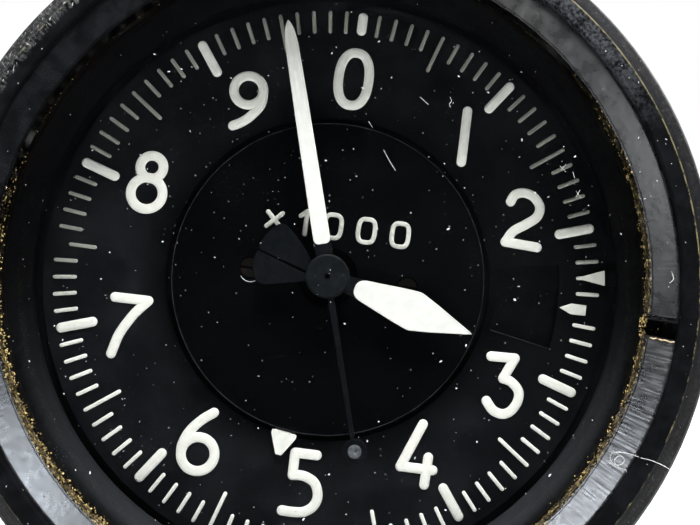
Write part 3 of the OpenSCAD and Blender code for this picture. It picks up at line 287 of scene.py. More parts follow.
def ring_enamel():
    p = Paint("ring_enamel")
    r, h = p.radius(), p.height()
    cloud = p.noise(0.5, 4, 0.6)
    peel = p.noise(1.3, 0.5, 0.5)
    pits = p.times(p.specks(2.6, 0.26, 0.10), p.around(225, 60))
    glints = p.specks(1.3, 0.10, 0.04)
    # short hairline scratches across the ring, thickest at the lower right
    hair = p.noise(1.0, 1, 0.5, at=p.radial_vector(5.5, 0.45))
    lower_right = p.plus(0.02, p.times(p.around(130, 55), 0.88))
    streak = p.times(p.step(hair, 0.54, 0.68), lower_right)
    # the foot of the inner face, where brass shows in grains: thickest at the lower left, almost none at the upper left
    share = p.plus(p.times(p.around(238, 62), 0.62), p.times(p.around(110, 80), 0.42))
    share = p.plus(p.minus(share, p.times(p.around(335, 100), 0.45)), 0.10)
    patchy = p.times(p.minus(p.noise(0.9, 4, 0.7), 0.5), 0.9)
    coarse, coarse_tint = p.grains(3.1, p.plus(share, patchy))
    small, small_tint = p.grains(5.6, p.plus(share, patchy))
    edge = p.plus(r, p.times(p.minus(p.noise(2.2, 4, 0.7), 0.5), 0.35))
    inner = p.step(edge, 34.44, 34.54, 1, 0)
    gold = p.times(inner, p.most(coarse, p.times(small, 0.8)))
    tint = p.most(p.times(coarse, coarse_tint), p.times(small, p.times(small_tint, 0.6)))
    base = p.mix(p.step(cloud, 0.35, 0.65), (0.0032, 0.0034, 0.0042), (0.0075, 0.0080, 0.0100))
    base = p.mix(p.times(streak, 0.6), base, (0.20, 0.20, 0.21))
    base = p.mix(p.times(pits, 0.85), base, (0.004, 0.004, 0.007))
    base = p.mix(p.times(glints, 0.4), base, (0.55, 0.56, 0.58))
    dark_line = p.step(p.math("ABSOLUTE", p.minus(edge, 34.66)), 0.03, 0.10, 1, 0)
    dark = p.most(inner, p.times(dark_line, 0.8))
    base = p.mix(dark, base, (0.004, 0.0035, 0.003))
    base = p.mix(gold, base, p.mix(tint, (0.050, 0.030, 0.008), (1.0, 0.74, 0.28)))
    rough = p.plus(p.step(cloud, 0.3, 0.7, 0.25, 0.33), p.times(pits, 0.25))
    rough = p.minus(rough, p.times(p.around(300, 60), 0.13))
    streaks = p.noise(1.0, 0.5, 0.5, at=p.radial_vector(3.4, 0.30))
    relief = p.plus(p.times(peel, 0.5), p.times(streaks, p.plus(0.15, p.times(lower_right, 0.9))))
    normal = p.bump(relief, 0.45, 0.06)
    normal = p.bump(gold, 0.6, 0.10, normal)
    # near-black metal takes the shine off the inner face, all but its grains
    dull = p.times(dark, p.minus(1.0, p.times(gold, 0.8)))
    return p.finish(base, rough, dull, normal, IOR=2.05, Specular_IOR_Level=1.0)


def plain_paint(name, dark, light, rough_low, rough_high, scale=0.8, bump=0.25, dust=0.0, shine=0.5):
    """Paint that drifts between two shades, with a fine grain and, where asked, specks of dust."""
    p = Paint(name)
    cloud, base = p.clouds(scale, dark, light)
    fine = p.noise(scale * 9, 3, 0.6)
    if dust:
        base = p.mix(p.times(p.specks(1.4, 0.15, 0.14), dust), base, (0.6, 0.6, 0.57))
    return p.coat(base, fine, cloud, rough_low, rough_high, bump, 0.03, shine)


def wall_black():
    """Black wall round the dial, with painted light in dusty blotches on its lower part, which faces the light from
    above.
    """
    p = Paint("wall_gloss")
    cloud, base = p.clouds(0.6, (0.0030, 0.0030, 0.0034), (0.0055, 0.0055, 0.0062))
    fine = p.noise(6.0, 3, 0.6)
    # painted light: the lower wall lighter in dusty blotches, most near the dial
    dusty = p.times(p.around(170, 95), p.step(p.plus(p.times(cloud, 0.5), p.times(fine, 0.5)), 0.3, 0.6, 0.75, 1.0))
    dusty = p.times(dusty, p.step(p.height(), 10.2, 12.0, 1.0, 0.12))
    base = p.mix(dusty, base, (0.034, 0.036, 0.041))
    return p.coat(base, fine, cloud, 0.40, 0.50, 0.05, 0.02, 0.03)


def dial_black():
    p = Paint("dial_black")
    r = p.radius()
    cloud = p.noise(0.16, 4, 0.6)
    fine = p.noise(11, 3, 0.6)
    # faint turned rings and a lighter outer zone, as on the real dial
    rings = p.noise(1.6, 3, 0.6, at=p.turned_vector())
    base = p.mix(p.step(cloud, 0.35, 0.68), (0.0052, 0.0058, 0.0072), (0.0112, 0.0120, 0.0142))
    base = p.mix(p.step(r, 17.5, 24.5, 0.9, 0.0), base, (0.0006, 0.0007, 0.0010))
    # the dial is darkest at the right, round the window
    base = p.mix(p.times(p.around(84, 46), 0.72), base, (0.0020, 0.0022, 0.0028))
    base = p.mix(p.times(p.specks(0.75, 0.10, 0.22), 0.5), base, (0.42, 0.43, 0.42))
    rough = p.plus(p.step(fine, 0.3, 0.7, 0.55, 0.66), p.times(rings, 0.06))
    relief = p.plus(p.times(fine, 0.5), p.times(rings, 0.5))
    return p.finish(base, rough, 0.0, p.bump(relief, 0.22, 0.03), Specular_IOR_Level=0.012)


def white_paint(name, colour, shade, bump=0.35):
    p = Paint(name)
    cloud, base = p.clouds(1.3, shade, colour)
    fine = p.noise(9.0, 3, 0.65)
    base = p.mix(p.times(p.specks(2.2, 0.16, 0.12), 0.5), base, (0.42, 0.40, 0.33))
    return p.coat(base, fine, p.times(cloud, 0.6), 0.42, 0.60, bump, 0.05)


def shaded_tick_paint():
    """White of the thin marks, painted grey over the upper part of the dial as the shadow that the rim casts there."""
    p = Paint("shaded_tick_paint")
    cloud, base = p.clouds(1.3, (0.88, 0.87, 0.81), (0.94, 0.93, 0.88))
    fine = p.noise(9.0, 3, 0.65)
    # painted shadow: the thin marks grey in patches round the top, where the rim shades them
    patchy_shade = p.times(p.around(352, 118), p.step(fine, 0.3, 0.6, 0.75, 1.0))
    base = p.mix(p.step(patchy_shade, 0.02, 0.35, 0.0, 0.86), base, (0.21, 0.205, 0.175))
    return p.coat(base, fine, cloud, 0.45, 0.62, 0.35, 0.05)


def pointer_plate():
    """Black of the pointers' plates, with specks of dust."""
    p = Paint("pointer_plate")
    cloud, dark = p.clouds(1.1, (0.0034, 0.0042, 0.0056), (0.0064, 0.0074, 0.0090))
    fine = p.noise(8.0, 3, 0.6)
    dark = p.mix(p.times(p.specks(1.5, 0.12, 0.12), 0.6), dark, (0.5, 0.5, 0.48))
    return p.coat(dark, fine, cloud, 0.42, 0.56, 0.3, 0.04, 0.04)


def pointer_white(name, angle, grey_from=99.0):
    """White coat, with lengthwise streaks; beyond grey_from along the pointer it is painted greyer in streaks, as
    shade.
    """
    p = Paint(name)
    s, c = clock(1.0, angle)
    along = p.plus(p.times(p.x, s), p.times(p.z, c))
    across = p.minus(p.times(p.x, c), p.times(p.z, s))
    cloud, light = p.clouds(1.1, (0.73, 0.72, 0.69), (0.79, 0.78, 0.755))
    fine = p.noise(8.0, 3, 0.6)
    lengthwise = p.node("CombineXYZ", {0: p.times(across, 3.2), 1: p.times(along, 0.25)})
    streak = p.noise(1.0, 3, 0.6, at=lengthwise.outputs[0])
    # painted shade: the pointer greyer in streaks beyond grey_from, where the rim's shadow reaches it
    patchy_shade = p.times(p.step(along, grey_from, grey_from + 8.0), p.step(streak, 0.36, 0.62))
    light = p.mix(p.times(patchy_shade, 0.45), light, (0.56, 0.555, 0.52))
    return p.coat(light, fine, p.plus(cloud, patchy_shade), 0.44, 0.58, 0.3, 0.04, 0.3)


def metal(name, dark, light, rough_low, rough_high, turned=False, stain=None, grain=14.0, black=None):
    """Bare metal with machining lines. Above a height inside a radius, given as a pair, it can be painted near black as
    shade.
    """
    p = Paint(name)
    at = p.turned_vector() if turned else p.stretched(1, 6, 1)
    lines = p.noise(grain, 3, 0.6, at=at)
    cloud, base = p.clouds(0.5, dark, light)
    if stain:
        base = p.mix(p.stain(0.9, 0.56, 0.75), base, stain)
    # painted shade: near black above a height within a radius, where the part shows through the dial
    if black:
        above, within = black
        black = p.times(p.step(p.height(), above, above + 0.2), p.step(p.radius(), within, within + 0.3, 1, 0))
        base = p.mix(black, base, (0.0015, 0.0015, 0.0018))
    rough = p.plus(p.step(cloud, 0.3, 0.7, rough_low, rough_high), p.times(lines, 0.10))
    return p.finish(base, rough, 1.0, p.bump(lines, 0.3, 0.012))


def index_paint():
    """White on the pointed head of an index, black on its neck and arm beyond the marks."""
    p = Paint("metre_index_paint")
    cloud, white = p.clouds(1.3, (0.74, 0.73, 0.68), (0.83, 0.82, 0.78))
    fine = p.noise(9.0, 3, 0.65)
    black = p.mix(p.step(cloud, 0.3, 0.7), (0.0015, 0.0015, 0.0020), (0.0035, 0.0035, 0.0045))
    base = p.mix(p.step(p.radius(), 32.42, 32.48), white, black)
    return p.coat(base, fine, cloud, 0.42, 0.60, 0.25, 0.05, 0.06)


def window_glass():
    p = Paint("window_glass")
    p.tree.nodes.remove(p.shader)
    clear = p.node("BsdfTransparent", {"Color": (0.985, 0.992, 0.992)})
    smear = p.noise(0.13, 4, 0.6)
    shine = p.node("BsdfAnisotropic", {"Color": (1, 1, 1), "Roughness": p.step(smear, 0.4, 0.7, 0.015, 0.07)})
    facing = p.node("LayerWeight", {"Blend": 0.5})
    away = p.math("POWER", facing.outputs["Facing"], 5.0)
    fresnel = p.math("MULTIPLY_ADD", away, 0.9, 0.03)
    both = p.node("MixShader", {0: fresnel, 1: clear.outputs[0], 2: shine.outputs[0]})
    film = p.node("BsdfDiffuse", {"Color": (0.62, 0.64, 0.68)})
    haze = p.times(p.step(p.noise(0.07, 5, 0.65), 0.46, 0.75), 0.0012)
    haze = p.plus(haze, p.times(p.specks(1.1, 0.10, 0.10), 0.30))
    dusty = p.node("MixShader", {0: haze, 1: both.outputs[0], 2: film.outputs[0]})
    put(p.tree, p.output.inputs["Surface"], dusty.outputs[0])
    return p.material


def gold_grains():
    p = Paint("gold_grains")
    tint = p.math("POWER", p.step(p.noise(3.2, 3, 0.8), 0.34, 0.66), 1.5)
    base = p.mix(tint, (0.022, 0.013, 0.004), (1.0, 0.76, 0.32))
    rough = p.step(p.noise(9, 2, 0.5), 0.3, 0.7, 0.34, 0.55)
    return p.finish(base, rough, 0.25, p.bump(p.noise(16, 2, 0.5), 0.4, 0.03))


def knob_plastic():
    p = Paint("knob_plastic")
    cloud, base = p.clouds(0.7, (0.016, 0.016, 0.018), (0.034, 0.033, 0.035))
    fine = p.noise(7, 3, 0.6)
    base = p.mix(p.times(p.specks(1.2, 0.16, 0.15), 0.35), base, (0.3, 0.3, 0.28))
    return p.coat(base, fine, cloud, 0.36, 0.52, 0.3, 0.05)


def felt():
    p = Paint("packing_felt")
    fibre = p.noise(7, 5, 0.7, distortion=1.5)
    base = p.mix(p.step(fibre, 0.35, 0.65), (0.16, 0.13, 0.09), (0.34, 0.30, 0.23))
    return p.finish(base, 0.9, 0.0, p.bump(fibre, 0.7, 0.12))


def capsule_bronze():
    p = Paint("capsule_bronze")
    cloud, base = p.clouds(0.35, (0.48, 0.33, 0.17), (0.66, 0.50, 0.29))
    lines = p.noise(10, 3, 0.6, at=p.stretched(1, 1, 8))
    base = p.mix(p.stain(1.1, 0.58, 0.6), base, (0.20, 0.12, 0.06))
    return p.finish(base, p.step(cloud, 0.3, 0.7, 0.24, 0.38), 1.0, p.bump(lines, 0.3, 0.015))


# Each table gives name: values in the order of the function that makes the material.
PAINTS = {
    "gasket_rubber": ((0.0030, 0.0025, 0.0022), (0.0075, 0.0062, 0.0052), 0.62, 0.82, 1.2, 0.5, 0.0, 0.04),
    "dial_screw_brass": ((0.0022, 0.0016, 0.0013), (0.0060, 0.0042, 0.0031), 0.42, 0.58, 1.2, 0.3, 0.0, 0.10),
    "disc_black": ((0.0040, 0.0043, 0.0053), (0.0070, 0.0075, 0.0090), 0.58, 0.72, 0.5, 0.15, 0.12, 0.02),
    "cap_dark": ((0.0050, 0.0060, 0.0072), (0.0090, 0.0105, 0.0125), 0.34, 0.46, 1.3, 0.3, 0.5, 0.08),
}
PLATE_BRASS = ((0.42, 0.31, 0.14), (0.60, 0.46, 0.23), 0.36, 0.48)
METALS = {
    "brass_plate": (*PLATE_BRASS, False, (0.22, 0.14, 0.06), 9),
    "brass_gear": ((0.50, 0.36, 0.15), (0.68, 0.52, 0.25), 0.24, 0.34, True, (0.28, 0.18, 0.07)),
    "bushing_brass": ((0.10, 0.08, 0.05), (0.22, 0.17, 0.10), 0.36, 0.5, False, (0.05, 0.04, 0.03)),
    "steel_screw": ((0.44, 0.44, 0.43), (0.62, 0.62, 0.60), 0.24, 0.36, False, (0.20, 0.15, 0.10)),
    "spring_steel": ((0.40, 0.41, 0.43), (0.58, 0.59, 0.61), 0.20, 0.30),
    "port_steel": ((0.42, 0.42, 0.41), (0.60, 0.60, 0.57), 0.28, 0.42, False, (0.24, 0.21, 0.16)),
    "bimetal": ((0.42, 0.25, 0.14), (0.62, 0.42, 0.26), 0.28, 0.42, False, (0.25, 0.2, 0.2)),
}
MADE = {"case_enamel": case_enamel(), "window_glass": window_glass(), "ring_enamel": ring_enamel(),
        "wall_gloss": wall_black(), "dial_black": dial_black(), "packing_felt": felt(), "knob_plastic": knob_plastic(),
        "capsule_bronze": capsule_bronze(), "pointer_paint": pointer_plate(),
        "dial_white": white_paint("dial_white", (0.87, 0.86, 0.81), (0.80, 0.79, 0.73)),
        "index_white": white_paint("index_white", (0.83, 0.82, 0.78), (0.74, 0.73, 0.68), 0.25)}
MADE.update({name: plain_paint(name, *values) for name, values in PAINTS.items()})
MADE.update({name: metal(name, *values) for name, values in METALS.items()})
long_paint = pointer_white("pointer_white_long", LONG_ANGLE, 14.0)
short_paint = pointer_white("pointer_white_short", SHORT_ANGLE)

# Brass painted near black as shade where it shows through the middle of the dial: above a height, within a radius.
SHADED_IN_HOLES = {"base_plate": ("base_plate_brass", 4.9, 6.0), "dial_boss": ("dial_boss_brass", 5.0, 12.0),
             "km_wheel": ("km_wheel_brass", 5.0, 6.0), "pointer_arbor": ("arbor_end", 9.0, 6.0)}
own = {node: metal(name, *PLATE_BRASS, True, (0.22, 0.14, 0.06), 9.0, black)
       for node, (name, *black) in SHADED_IN_HOLES.items()}
own["metre_index"] = index_paint()
slots = {s["node"]: s["material_slot"] for s in frame["record"]["subparts"]}
for name, o in frame["nodes"].items():
    o.data.materials.clear()
    o.data.materials.append(own.get(name) or MADE[slots[name]])


# ---- shapes
class Shape:
    """Collects vertices and faces in millimetres and makes one mesh object of them."""

    def __init__(self):
        self.verts, self.faces = [], []

    def add(self, verts, faces):
        base = len(self.verts)
        self.verts += verts
        self.faces += [[base + i for i in f] for f in faces]

    def make(self, name, body, slot, material=None, smooth=True, replaced=(), merge=True):
        mesh = bpy.data.meshes.new(name)
        mesh.from_pydata([place(*v) for v in self.verts], [], self.faces)
        bm = bmesh.new()
        bm.from_mesh(mesh)
        if merge:
            bmesh.ops.remove_doubles(bm, verts=bm.verts, dist=2e-7)
        bmesh.ops.recalc_face_normals(bm, faces=bm.faces)
        bm.to_mesh(mesh)
        bm.free()
        for f in mesh.polygons:
            f.use_smooth = smooth and len(f.vertices) < 5
        o = linked(name, mesh)
        mesh.materials.append(material or MADE[slot])
        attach(o, body)
        if replaced:
            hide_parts(*replaced)
        return o


def smooth_path(points, closed=False, steps=8):
    """Catmull-Rom curve through the points."""
    n = len(points)
    out = []
    spans = n if closed else n - 1
    for i in range(spans):
        def at(k):
            return points[k % n] if closed else points[min(max(k, 0), n - 1)]
        p0, p1, p2, p3 = at(i - 1), at(i), at(i + 1), at(i + 2)
        for j in range(steps):
            t = j / steps
            out.append(tuple(
                0.5 * (2 * b + (c - a) * t + (2 * a - 5 * b + 4 * c - d) * t * t + (3 * b - a - 3 * c + d) * t ** 3)
                for a, b, c, d in zip(p0, p1, p2, p3)))
    if not closed:
        out.append(points[-1])
    return out


def circle_path(cx, cy, r, steps=40):
    return [(cx + r * math.sin(TURN * i / steps), cy + r * math.cos(TURN * i / steps)) for i in range(steps)]


def dome(s, power=2.6):
    """Height of a rounded stroke, from 1 in its middle to 0 at its sides, s from -1 to 1."""
    return max(0.0, 1 - abs(s) ** power) ** 0.5


def bead(shape, path, width, height, base, closed=False, half=5, cap=8, power=2.6):
    """A raised painted stroke with rounded sides and round ends along a path."""
    ss = [math.sin(math.pi / 2 * j / half) for j in range(-half, half + 1)]
    verts, faces = [], []
    n = len(path)

    def tangent(i):
        a = path[(i - 1) % n] if closed or i > 0 else path[i]
        b = path[(i + 1) % n] if closed or i < n - 1 else path[i]
        dx, dy = b[0] - a[0], b[1] - a[1]
        size = math.hypot(dx, dy) or 1
        return dx / size, dy / size

    for i, (x, y) in enumerate(path):
        tx, ty = tangent(i)
        for s in ss:
            verts.append((x - ty * s * width / 2, y + tx * s * width / 2, base + height * dome(s, power)))
    m = len(ss)
    for i in range(n if closed else n - 1):
        k = (i + 1) % n
        for j in range(m - 1):
            faces.append([i * m + j, k * m + j, k * m + j + 1, i * m + j + 1])
    shape.add(verts, faces)
    if closed:
        return
    for i, way in ((0, -1), (n - 1, 1)):
        tx, ty = tangent(i)
        tx, ty = tx * way, ty * way
        x, y = path[i]
        verts, faces = [(x, y, base + height)], []
        rr = [math.sin(math.pi / 2 * j / half) for j in range(1, half + 1)]
        for k in range(cap + 1):
            a = math.pi * (k / cap - 0.5)
            dx, dy = tx * math.cos(a) - ty * math.sin(a), ty * math.cos(a) + tx * math.sin(a)
            for s in rr:
                verts.append((x + dx * s * width / 2, y + dy * s * width / 2, base + height * dome(s, power)))
        for k in range(cap):
            faces.append([0, 1 + k * half, 1 + (k + 1) * half])
            for j in range(half - 1):
                a, b = 1 + k * half + j, 1 + (k + 1) * half + j
                faces.append([a, a + 1, b + 1, b])
        shape.add(verts, faces)


def offset(outline, d):
    """The outline, given counter-clockwise, moved inwards by d."""
    n, out = len(outline), []
    for i in range(n):
        (ax, ay), (bx, by), (cx, cy) = outline[i - 1], outline[i], outline[(i + 1) % n]
        ux, uy = bx - ax, by - ay
        vx, vy = cx - bx, cy - by
        lu, lv = math.hypot(ux, uy) or 1, math.hypot(vx, vy) or 1
        n1, n2 = (-uy / lu, ux / lu), (-vy / lv, vx / lv)
        mx, my = n1[0] + n2[0], n1[1] + n2[1]
        size = max(0.35, (mx * mx + my * my) / 2)
        out.append((bx + mx * d / size, by + my * d / size))
    return out


def stacked(rings):
    """Walls between outlines with the same number of points, each given with its height."""
    n = len(rings[0][0])
    verts = [(x, y, h) for ring, h in rings for x, y in ring]
    faces = [[k * n + i, k * n + (i + 1) % n, (k + 1) * n + (i + 1) % n, (k + 1) * n + i]
             for k in range(len(rings) - 1) for i in range(n)]
    return verts, faces


def pad(shape, outline, base, height, edge, steps=4):
    """A thin plate of paint over an outline, with a rounded edge."""
    n = len(outline)
    rings = []
    for k in range(steps + 1):
        a = math.pi / 2 * k / steps
        rings.append((offset(outline, edge * (1 - math.cos(a))), base + height * math.sin(a)))
    verts, faces = stacked(rings)
    shape.add(verts, faces + [[steps * n + i for i in range(n)]])


def ccw(outline):
    area = sum(a[0] * b[1] - b[0] * a[1] for a, b in zip(outline, outline[1:] + outline[:1]))
    return outline if area > 0 else outline[::-1]


def mirrored(right_side):
    """A closed outline from its right side, given from the foot up as (half width, along)."""
    return ccw([(-x, y) for x, y in right_side] + right_side[::-1])


def slab(shape, outline, low, high, edge=0.05, steps=3):
    """A plate over an outline, with rounded lower and upper edges."""
    outline = ccw(outline)
    n, rings = len(outline), []
    for k in range(steps + 1):
        a = math.pi / 2 * k / steps
        rings.append((offset(outline, edge * (1 - math.sin(a))), low + edge * (1 - math.cos(a))))
    rings += [(ring, high + low - h) for ring, h in rings[::-1]]
    verts, faces = stacked(rings)
    shape.add(verts, faces + [list(range(n))[::-1], [(len(rings) - 1) * n + i for i in range(n)]])


def lathe(shape, profile, cx=0.0, cy=0.0, steps=72):
    """Turns a closed profile of (radius, height) round an axis."""
    verts, faces, m = [], [], len(profile)
    for i in range(steps):
        a = TURN * i / steps
        verts += [(cx + r * math.sin(a), cy + r * math.cos(a), h) for r, h in profile]
    for i in range(steps):
        k = (i + 1) % steps
        for j in range(m):
            faces.append([i * m + j, i * m + (j + 1) % m, k * m + (j + 1) % m, k * m + j])
    shape.add(verts, faces)


def turned(points, angle):
    """Turns points whose y runs outwards to a clock angle."""
    s, c = clock(1.0, angle)
    return [(x * c + y * s, -x * s + y * c) for x, y in points]


# ---- numerals, marks and the multiplier
def moved(points, cx, cy):
    return [(cx + x, cy + y) for x, y in points]


def superellipse(a, b, power, steps=48):
    out = []
    for i in range(steps):
        s, c = math.sin(TURN * i / steps), math.cos(TURN * i / steps)
        out.append((a * math.copysign(abs(s) ** (2 / power), s), b * math.copysign(abs(c) ** (2 / power), c)))
    return out


def line(*points):
    return points, False


def curve(*points):
    return smooth_path(points), False


def ring(cx, cy, r):
    return circle_path(cx, cy, r), True


# Each digit is a list of strokes, a path and whether it is closed, about the digit's own middle.
GLYPHS = {
    "0": [(superellipse(1.8, 3.2, 2.35), True)],
    "1": [line((0, 3.1), (0, -3.1))],
    "2": [curve((-1.68, 1.97), (-1.27, 2.82), (-0.26, 3.22), (0.98, 2.88), (1.86, 1.77), (1.62, 0.54), (0.42, -0.50),
                (-0.98, -1.54), (-1.72, -2.87)), line((-1.76, -2.87), (2.05, -3.04))],
    "3": [line((-1.74, 3.12), (1.07, 3.22)), line((1.07, 3.20), (-0.06, 0.72)),
          curve((-0.06, 0.72), (0.94, 0.45), (1.89, -0.48), (1.97, -1.63), (1.36, -2.81), (0.44, -3.36), (-0.76, -3.09),
                (-1.69, -2.08))],
    "4": [line((0.40, 3.57), (-1.62, -1.54)), line((-1.62, -1.52), (2.16, -1.54)), line((1.48, -0.14), (1.39, -3.27))],
    "5": [line((1.53, 3.29), (-0.99, 3.29)), line((-0.99, 3.27), (-0.96, 0.74)),
          curve((-0.96, 0.74), (0.36, 0.78), (1.68, 0.12), (2.22, -1.27), (1.88, -2.47), (0.89, -3.23), (-0.40, -3.40),
                (-1.65, -3.37))],
    "6": [curve((1.40, 3.52), (0.18, 2.58), (-1.08, 1.12), (-1.70, -0.45), (-1.73, -1.37)), ring(0.2, -1.37, 1.93)],
    "7": [line((-2.38, 2.94), (1.50, 2.98)),
          curve((1.50, 2.98), (0.64, 1.98), (-0.15, 0.92), (-1.27, -1.22), (-1.86, -3.56))],
    "8": [ring(0.19, 1.85, 1.35), ring(0.035, -1.29, 1.86)],
    "9": [ring(-0.16, 1.21, 1.75),
          curve((1.59, 1.21), (1.50, -0.33), (0.44, -1.87), (-0.45, -2.66), (-1.43, -3.24))],
}
CENTRES = {"0": (-0.16, 23.84), "1": (13.81, 18.72), "2": (21.89, 9.73), "3": (21.80, -9.82), "4": (12.70, -19.06),
           "5": (-0.17, -23.82), "6": (-12.45, -20.69), "7": (-21.89, -8.36), "8": (-22.48, 8.35), "9": (-12.16, 19.60)}

numerals = Shape()
for digit, strokes in GLYPHS.items():
    for k, (path, closed) in enumerate(strokes):
        at = moved(path, *CENTRES[digit])
        bead(numerals, at, 1.15, 0.26 + 0.006 * k, DIAL - 0.02, closed, half=6, cap=10, power=3.4)
numerals.make("dial_numerals", "case", "dial_white")

ticks, thin = Shape(), Shape()
for i in range(100):
    if i == 25:  # the fixed index stands there
        continue
    numbered, fifth = i % 10 == 0, i % 5 == 0
    shape, width, height, half, cap = (ticks, 1.15, 0.30, 6, 9) if numbered else (thin, 0.46, 0.16, 4, 5)
    length = 4.8 if (fifth and i % 50) else 2.8
    end = SCALE_R - (1.5 if i == 75 else 0)
    a, b = clock(SCALE_R - length + width / 2, i * 3.6), clock(end - width / 2, i * 3.6)
    bead(shape, [a, b], width, height, DIAL - 0.02, half=half, cap=cap, power=3.0)
fixed = [(-0.62, 30.57), (-0.64, 28.75), (0, 27.37), (0.64, 28.75), (0.62, 30.57)]
pad(ticks, turned(fixed, 90.0), DIAL - 0.02, 0.22, 0.14)
ticks.make("dial_ticks", "case", "dial_white", replaced=("dial_marks",))
thin.make("dial_thin_ticks", "case", "dial_white", shaded_tick_paint(), replaced=("dial_marks",))

# A plain multiplier stands where the real dial has a word: x 1 0 0 0
word = Shape()
W, H, S = 2.5, 3.3, 0.55  # width and height of a nought, and its stroke


def block(cx, strokes):
    for k, (path, closed) in enumerate(strokes):
        bead(word, moved(path, cx, WORD_Y), S, 0.14 + 0.004 * k, DIAL - 0.01, closed, half=4, cap=6, power=3.0)


zero = superellipse(W / 2 - S / 2, H / 2 - S / 2, 3.2, 36)
block(-7.2, [line((-0.85, -0.95), (0.85, 0.75)), line((-0.85, 0.75), (0.85, -0.95))])
block(-3.6, [line((-0.60, 0.75), (0.1, H / 2 - S / 2)), line((0.1, H / 2 - S / 2), (0.1, S / 2 - H / 2))])
for cx in (-0.3, 3.7, 7.7):
    block(cx, [(zero, True)])
word_white = white_paint("multiplier_white", (0.70, 0.695, 0.64), (0.46, 0.455, 0.41))
word.make("dial_multiplier", "case", "dial_white", word_white)


# ---- pointers
long_plate = Shape()
blade = [(0.93, 1.2), (0.97, 3.2), (0.98, 6.0), (0.93, 14.0), (0.87, 20.0), (0.82, 25.0), (0.79, 27.0), (0.70, 27.9),
         (0.58, 28.6), (0.46, 29.1), (0.24, 29.6), (0.08, 29.9)]
slab(long_plate, turned(mirrored(blade), LONG_ANGLE), LONG_LOW, LONG_TOP)
tail = [(0.24, 0.6 - TAIL_R), (0.33, -6.0), (0.42, -1.2)]
slab(long_plate, turned(mirrored(tail), LONG_ANGLE), LONG_LOW + 0.03, LONG_TOP - 0.03)
hub = [(1.62, -0.5), (1.70, -0.42), (1.70, 0.0), (2.06, 0.0), (2.14, 0.08), (2.14, 0.34), (2.08, 0.39)]
hub = [(ARBOR_BORE, -0.5)] + hub + [(ARBOR_BORE, 0.39)]
lathe(long_plate, [(r, LONG_LOW + h) for r, h in hub])
tail_x, tail_y = clock(TAIL_R, LONG_ANGLE + 180)
slab(long_plate, circle_path(tail_x, tail_y, 1.38, 48), LONG_LOW, LONG_TOP, 0.08)
long_plate.make("long_pointer_plate", "long_hand", "pointer_paint", replaced=("long_pointer",))

rivet = Shape()
head = [(0.02, -0.1), (0.74, -0.1), (0.78, 0.10), (0.72, 0.22), (0.56, 0.26), (0.36, 0.18), (0.02, 0.14)]
lathe(rivet, [(r, LONG_TOP + h) for r, h in head], tail_x, tail_y, 40)
rivet_grey = plain_paint("rivet_grey", (0.045, 0.050, 0.058), (0.11, 0.118, 0.13), 0.34, 0.5, 1.6, 0.35, 0.4, 0.4)
rivet.make("tail_rivet", "long_hand", "pointer_paint", rivet_grey)

long_white = Shape()
coat = [(0.42, 3.70), (0.72, 3.80), (0.90, 4.02), (0.96, 4.35), (0.97, 6.0), (0.92, 14.0), (0.86, 20.0), (0.80, 25.0),
        (0.77, 27.0), (0.68, 27.9), (0.56, 28.6), (0.44, 29.1), (0.22, 29.6), (0.07, 29.86)]
pad(long_white, turned(mirrored(coat), LONG_ANGLE), LONG_TOP - 0.02, 0.12, 0.09)
long_white.make("long_pointer_paint", "long_hand", "pointer_paint", long_paint)

short_plate = Shape()
kite = [(0.95, 1.7), (1.02, 2.6), (1.20, 4.1), (1.38, 5.0), (2.20, 9.6), (2.31, 10.45), (2.32, 10.75), (2.24, 11.1),
        (1.67, 13.0), (0.99, 15.0), (0.33, 17.0), (0.06, 17.8)]
slab(short_plate, turned(mirrored(kite), SHORT_ANGLE), SHORT_LOW, SHORT_TOP)
upper_lobe = [(-0.05, -8.62), (-0.79, -8.65), (-1.83, -8.41), (-2.97, -7.93), (-3.55, -7.50), (-3.73, -7.10),
              (-3.70, -6.55), (-3.50, -6.05), (-3.01, -5.13), (-2.18, -3.85), (-1.24, -2.61), (-0.80, -1.70),
              (0.10, -1.70), (0.30, -2.60)]
lower_lobe = [(0.14, -8.60), (1.10, -8.66), (2.18, -8.37), (3.04, -7.83), (3.42, -7.45), (3.56, -7.08), (3.50, -6.50),
              (2.51, -4.36), (1.36, -2.15), (1.05, -1.70), (0.50, -1.70), (0.60, -2.60)]
for lobe in (upper_lobe, lower_lobe):
    slab(short_plate, turned(lobe, SHORT_ANGLE), SHORT_LOW, SHORT_TOP, 0.04)
hub = [(2.13, -0.7), (2.20, -0.62), (2.20, 0.0), (2.34, 0.0), (2.40, 0.08), (2.40, 0.34), (2.34, 0.39)]
hub = [(PIPE_BORE, -0.7)] + hub + [(ARBOR_BORE, 0.39), (ARBOR_BORE, 0.15), (PIPE_BORE, 0.15)]
lathe(short_plate, [(r, SHORT_LOW + h) for r, h in hub])
short_plate.make("short_pointer_plate", "short_hand", "pointer_paint", replaced=("short_pointer",))

short_white = Shape()
coat = [(0.30, 3.30), (0.62, 3.40), (0.86, 3.58), (1.04, 3.80), (1.15, 4.05), (1.23, 4.30), (1.36, 5.0), (1.54, 6.0),
        (1.91, 8.0), (2.17, 9.6), (2.26, 10.2), (2.30, 10.60), (2.28, 10.85), (2.18, 11.2), (1.65, 13.0), (0.98, 15.0),
        (0.32, 17.0), (0.15, 17.45), (0.04, 17.74)]
pad(short_white, turned(mirrored(coat), SHORT_ANGLE), SHORT_TOP - 0.02, 0.12, 0.09)
short_white.make("short_pointer_paint", "short_hand", "pointer_paint", short_paint)


# ---- brass crumbs at the ring's foot, dust and fibres
rng = random.Random(4107)
CRUMB_TRIES, SPLIT_CRUMBS = 2300, 90
GLASS_DUST, DIAL_DUST, RING_DUST = 230, 110, 55
GLASS_R, DIAL_R = 33.5, 32.5  # how far out dust lies


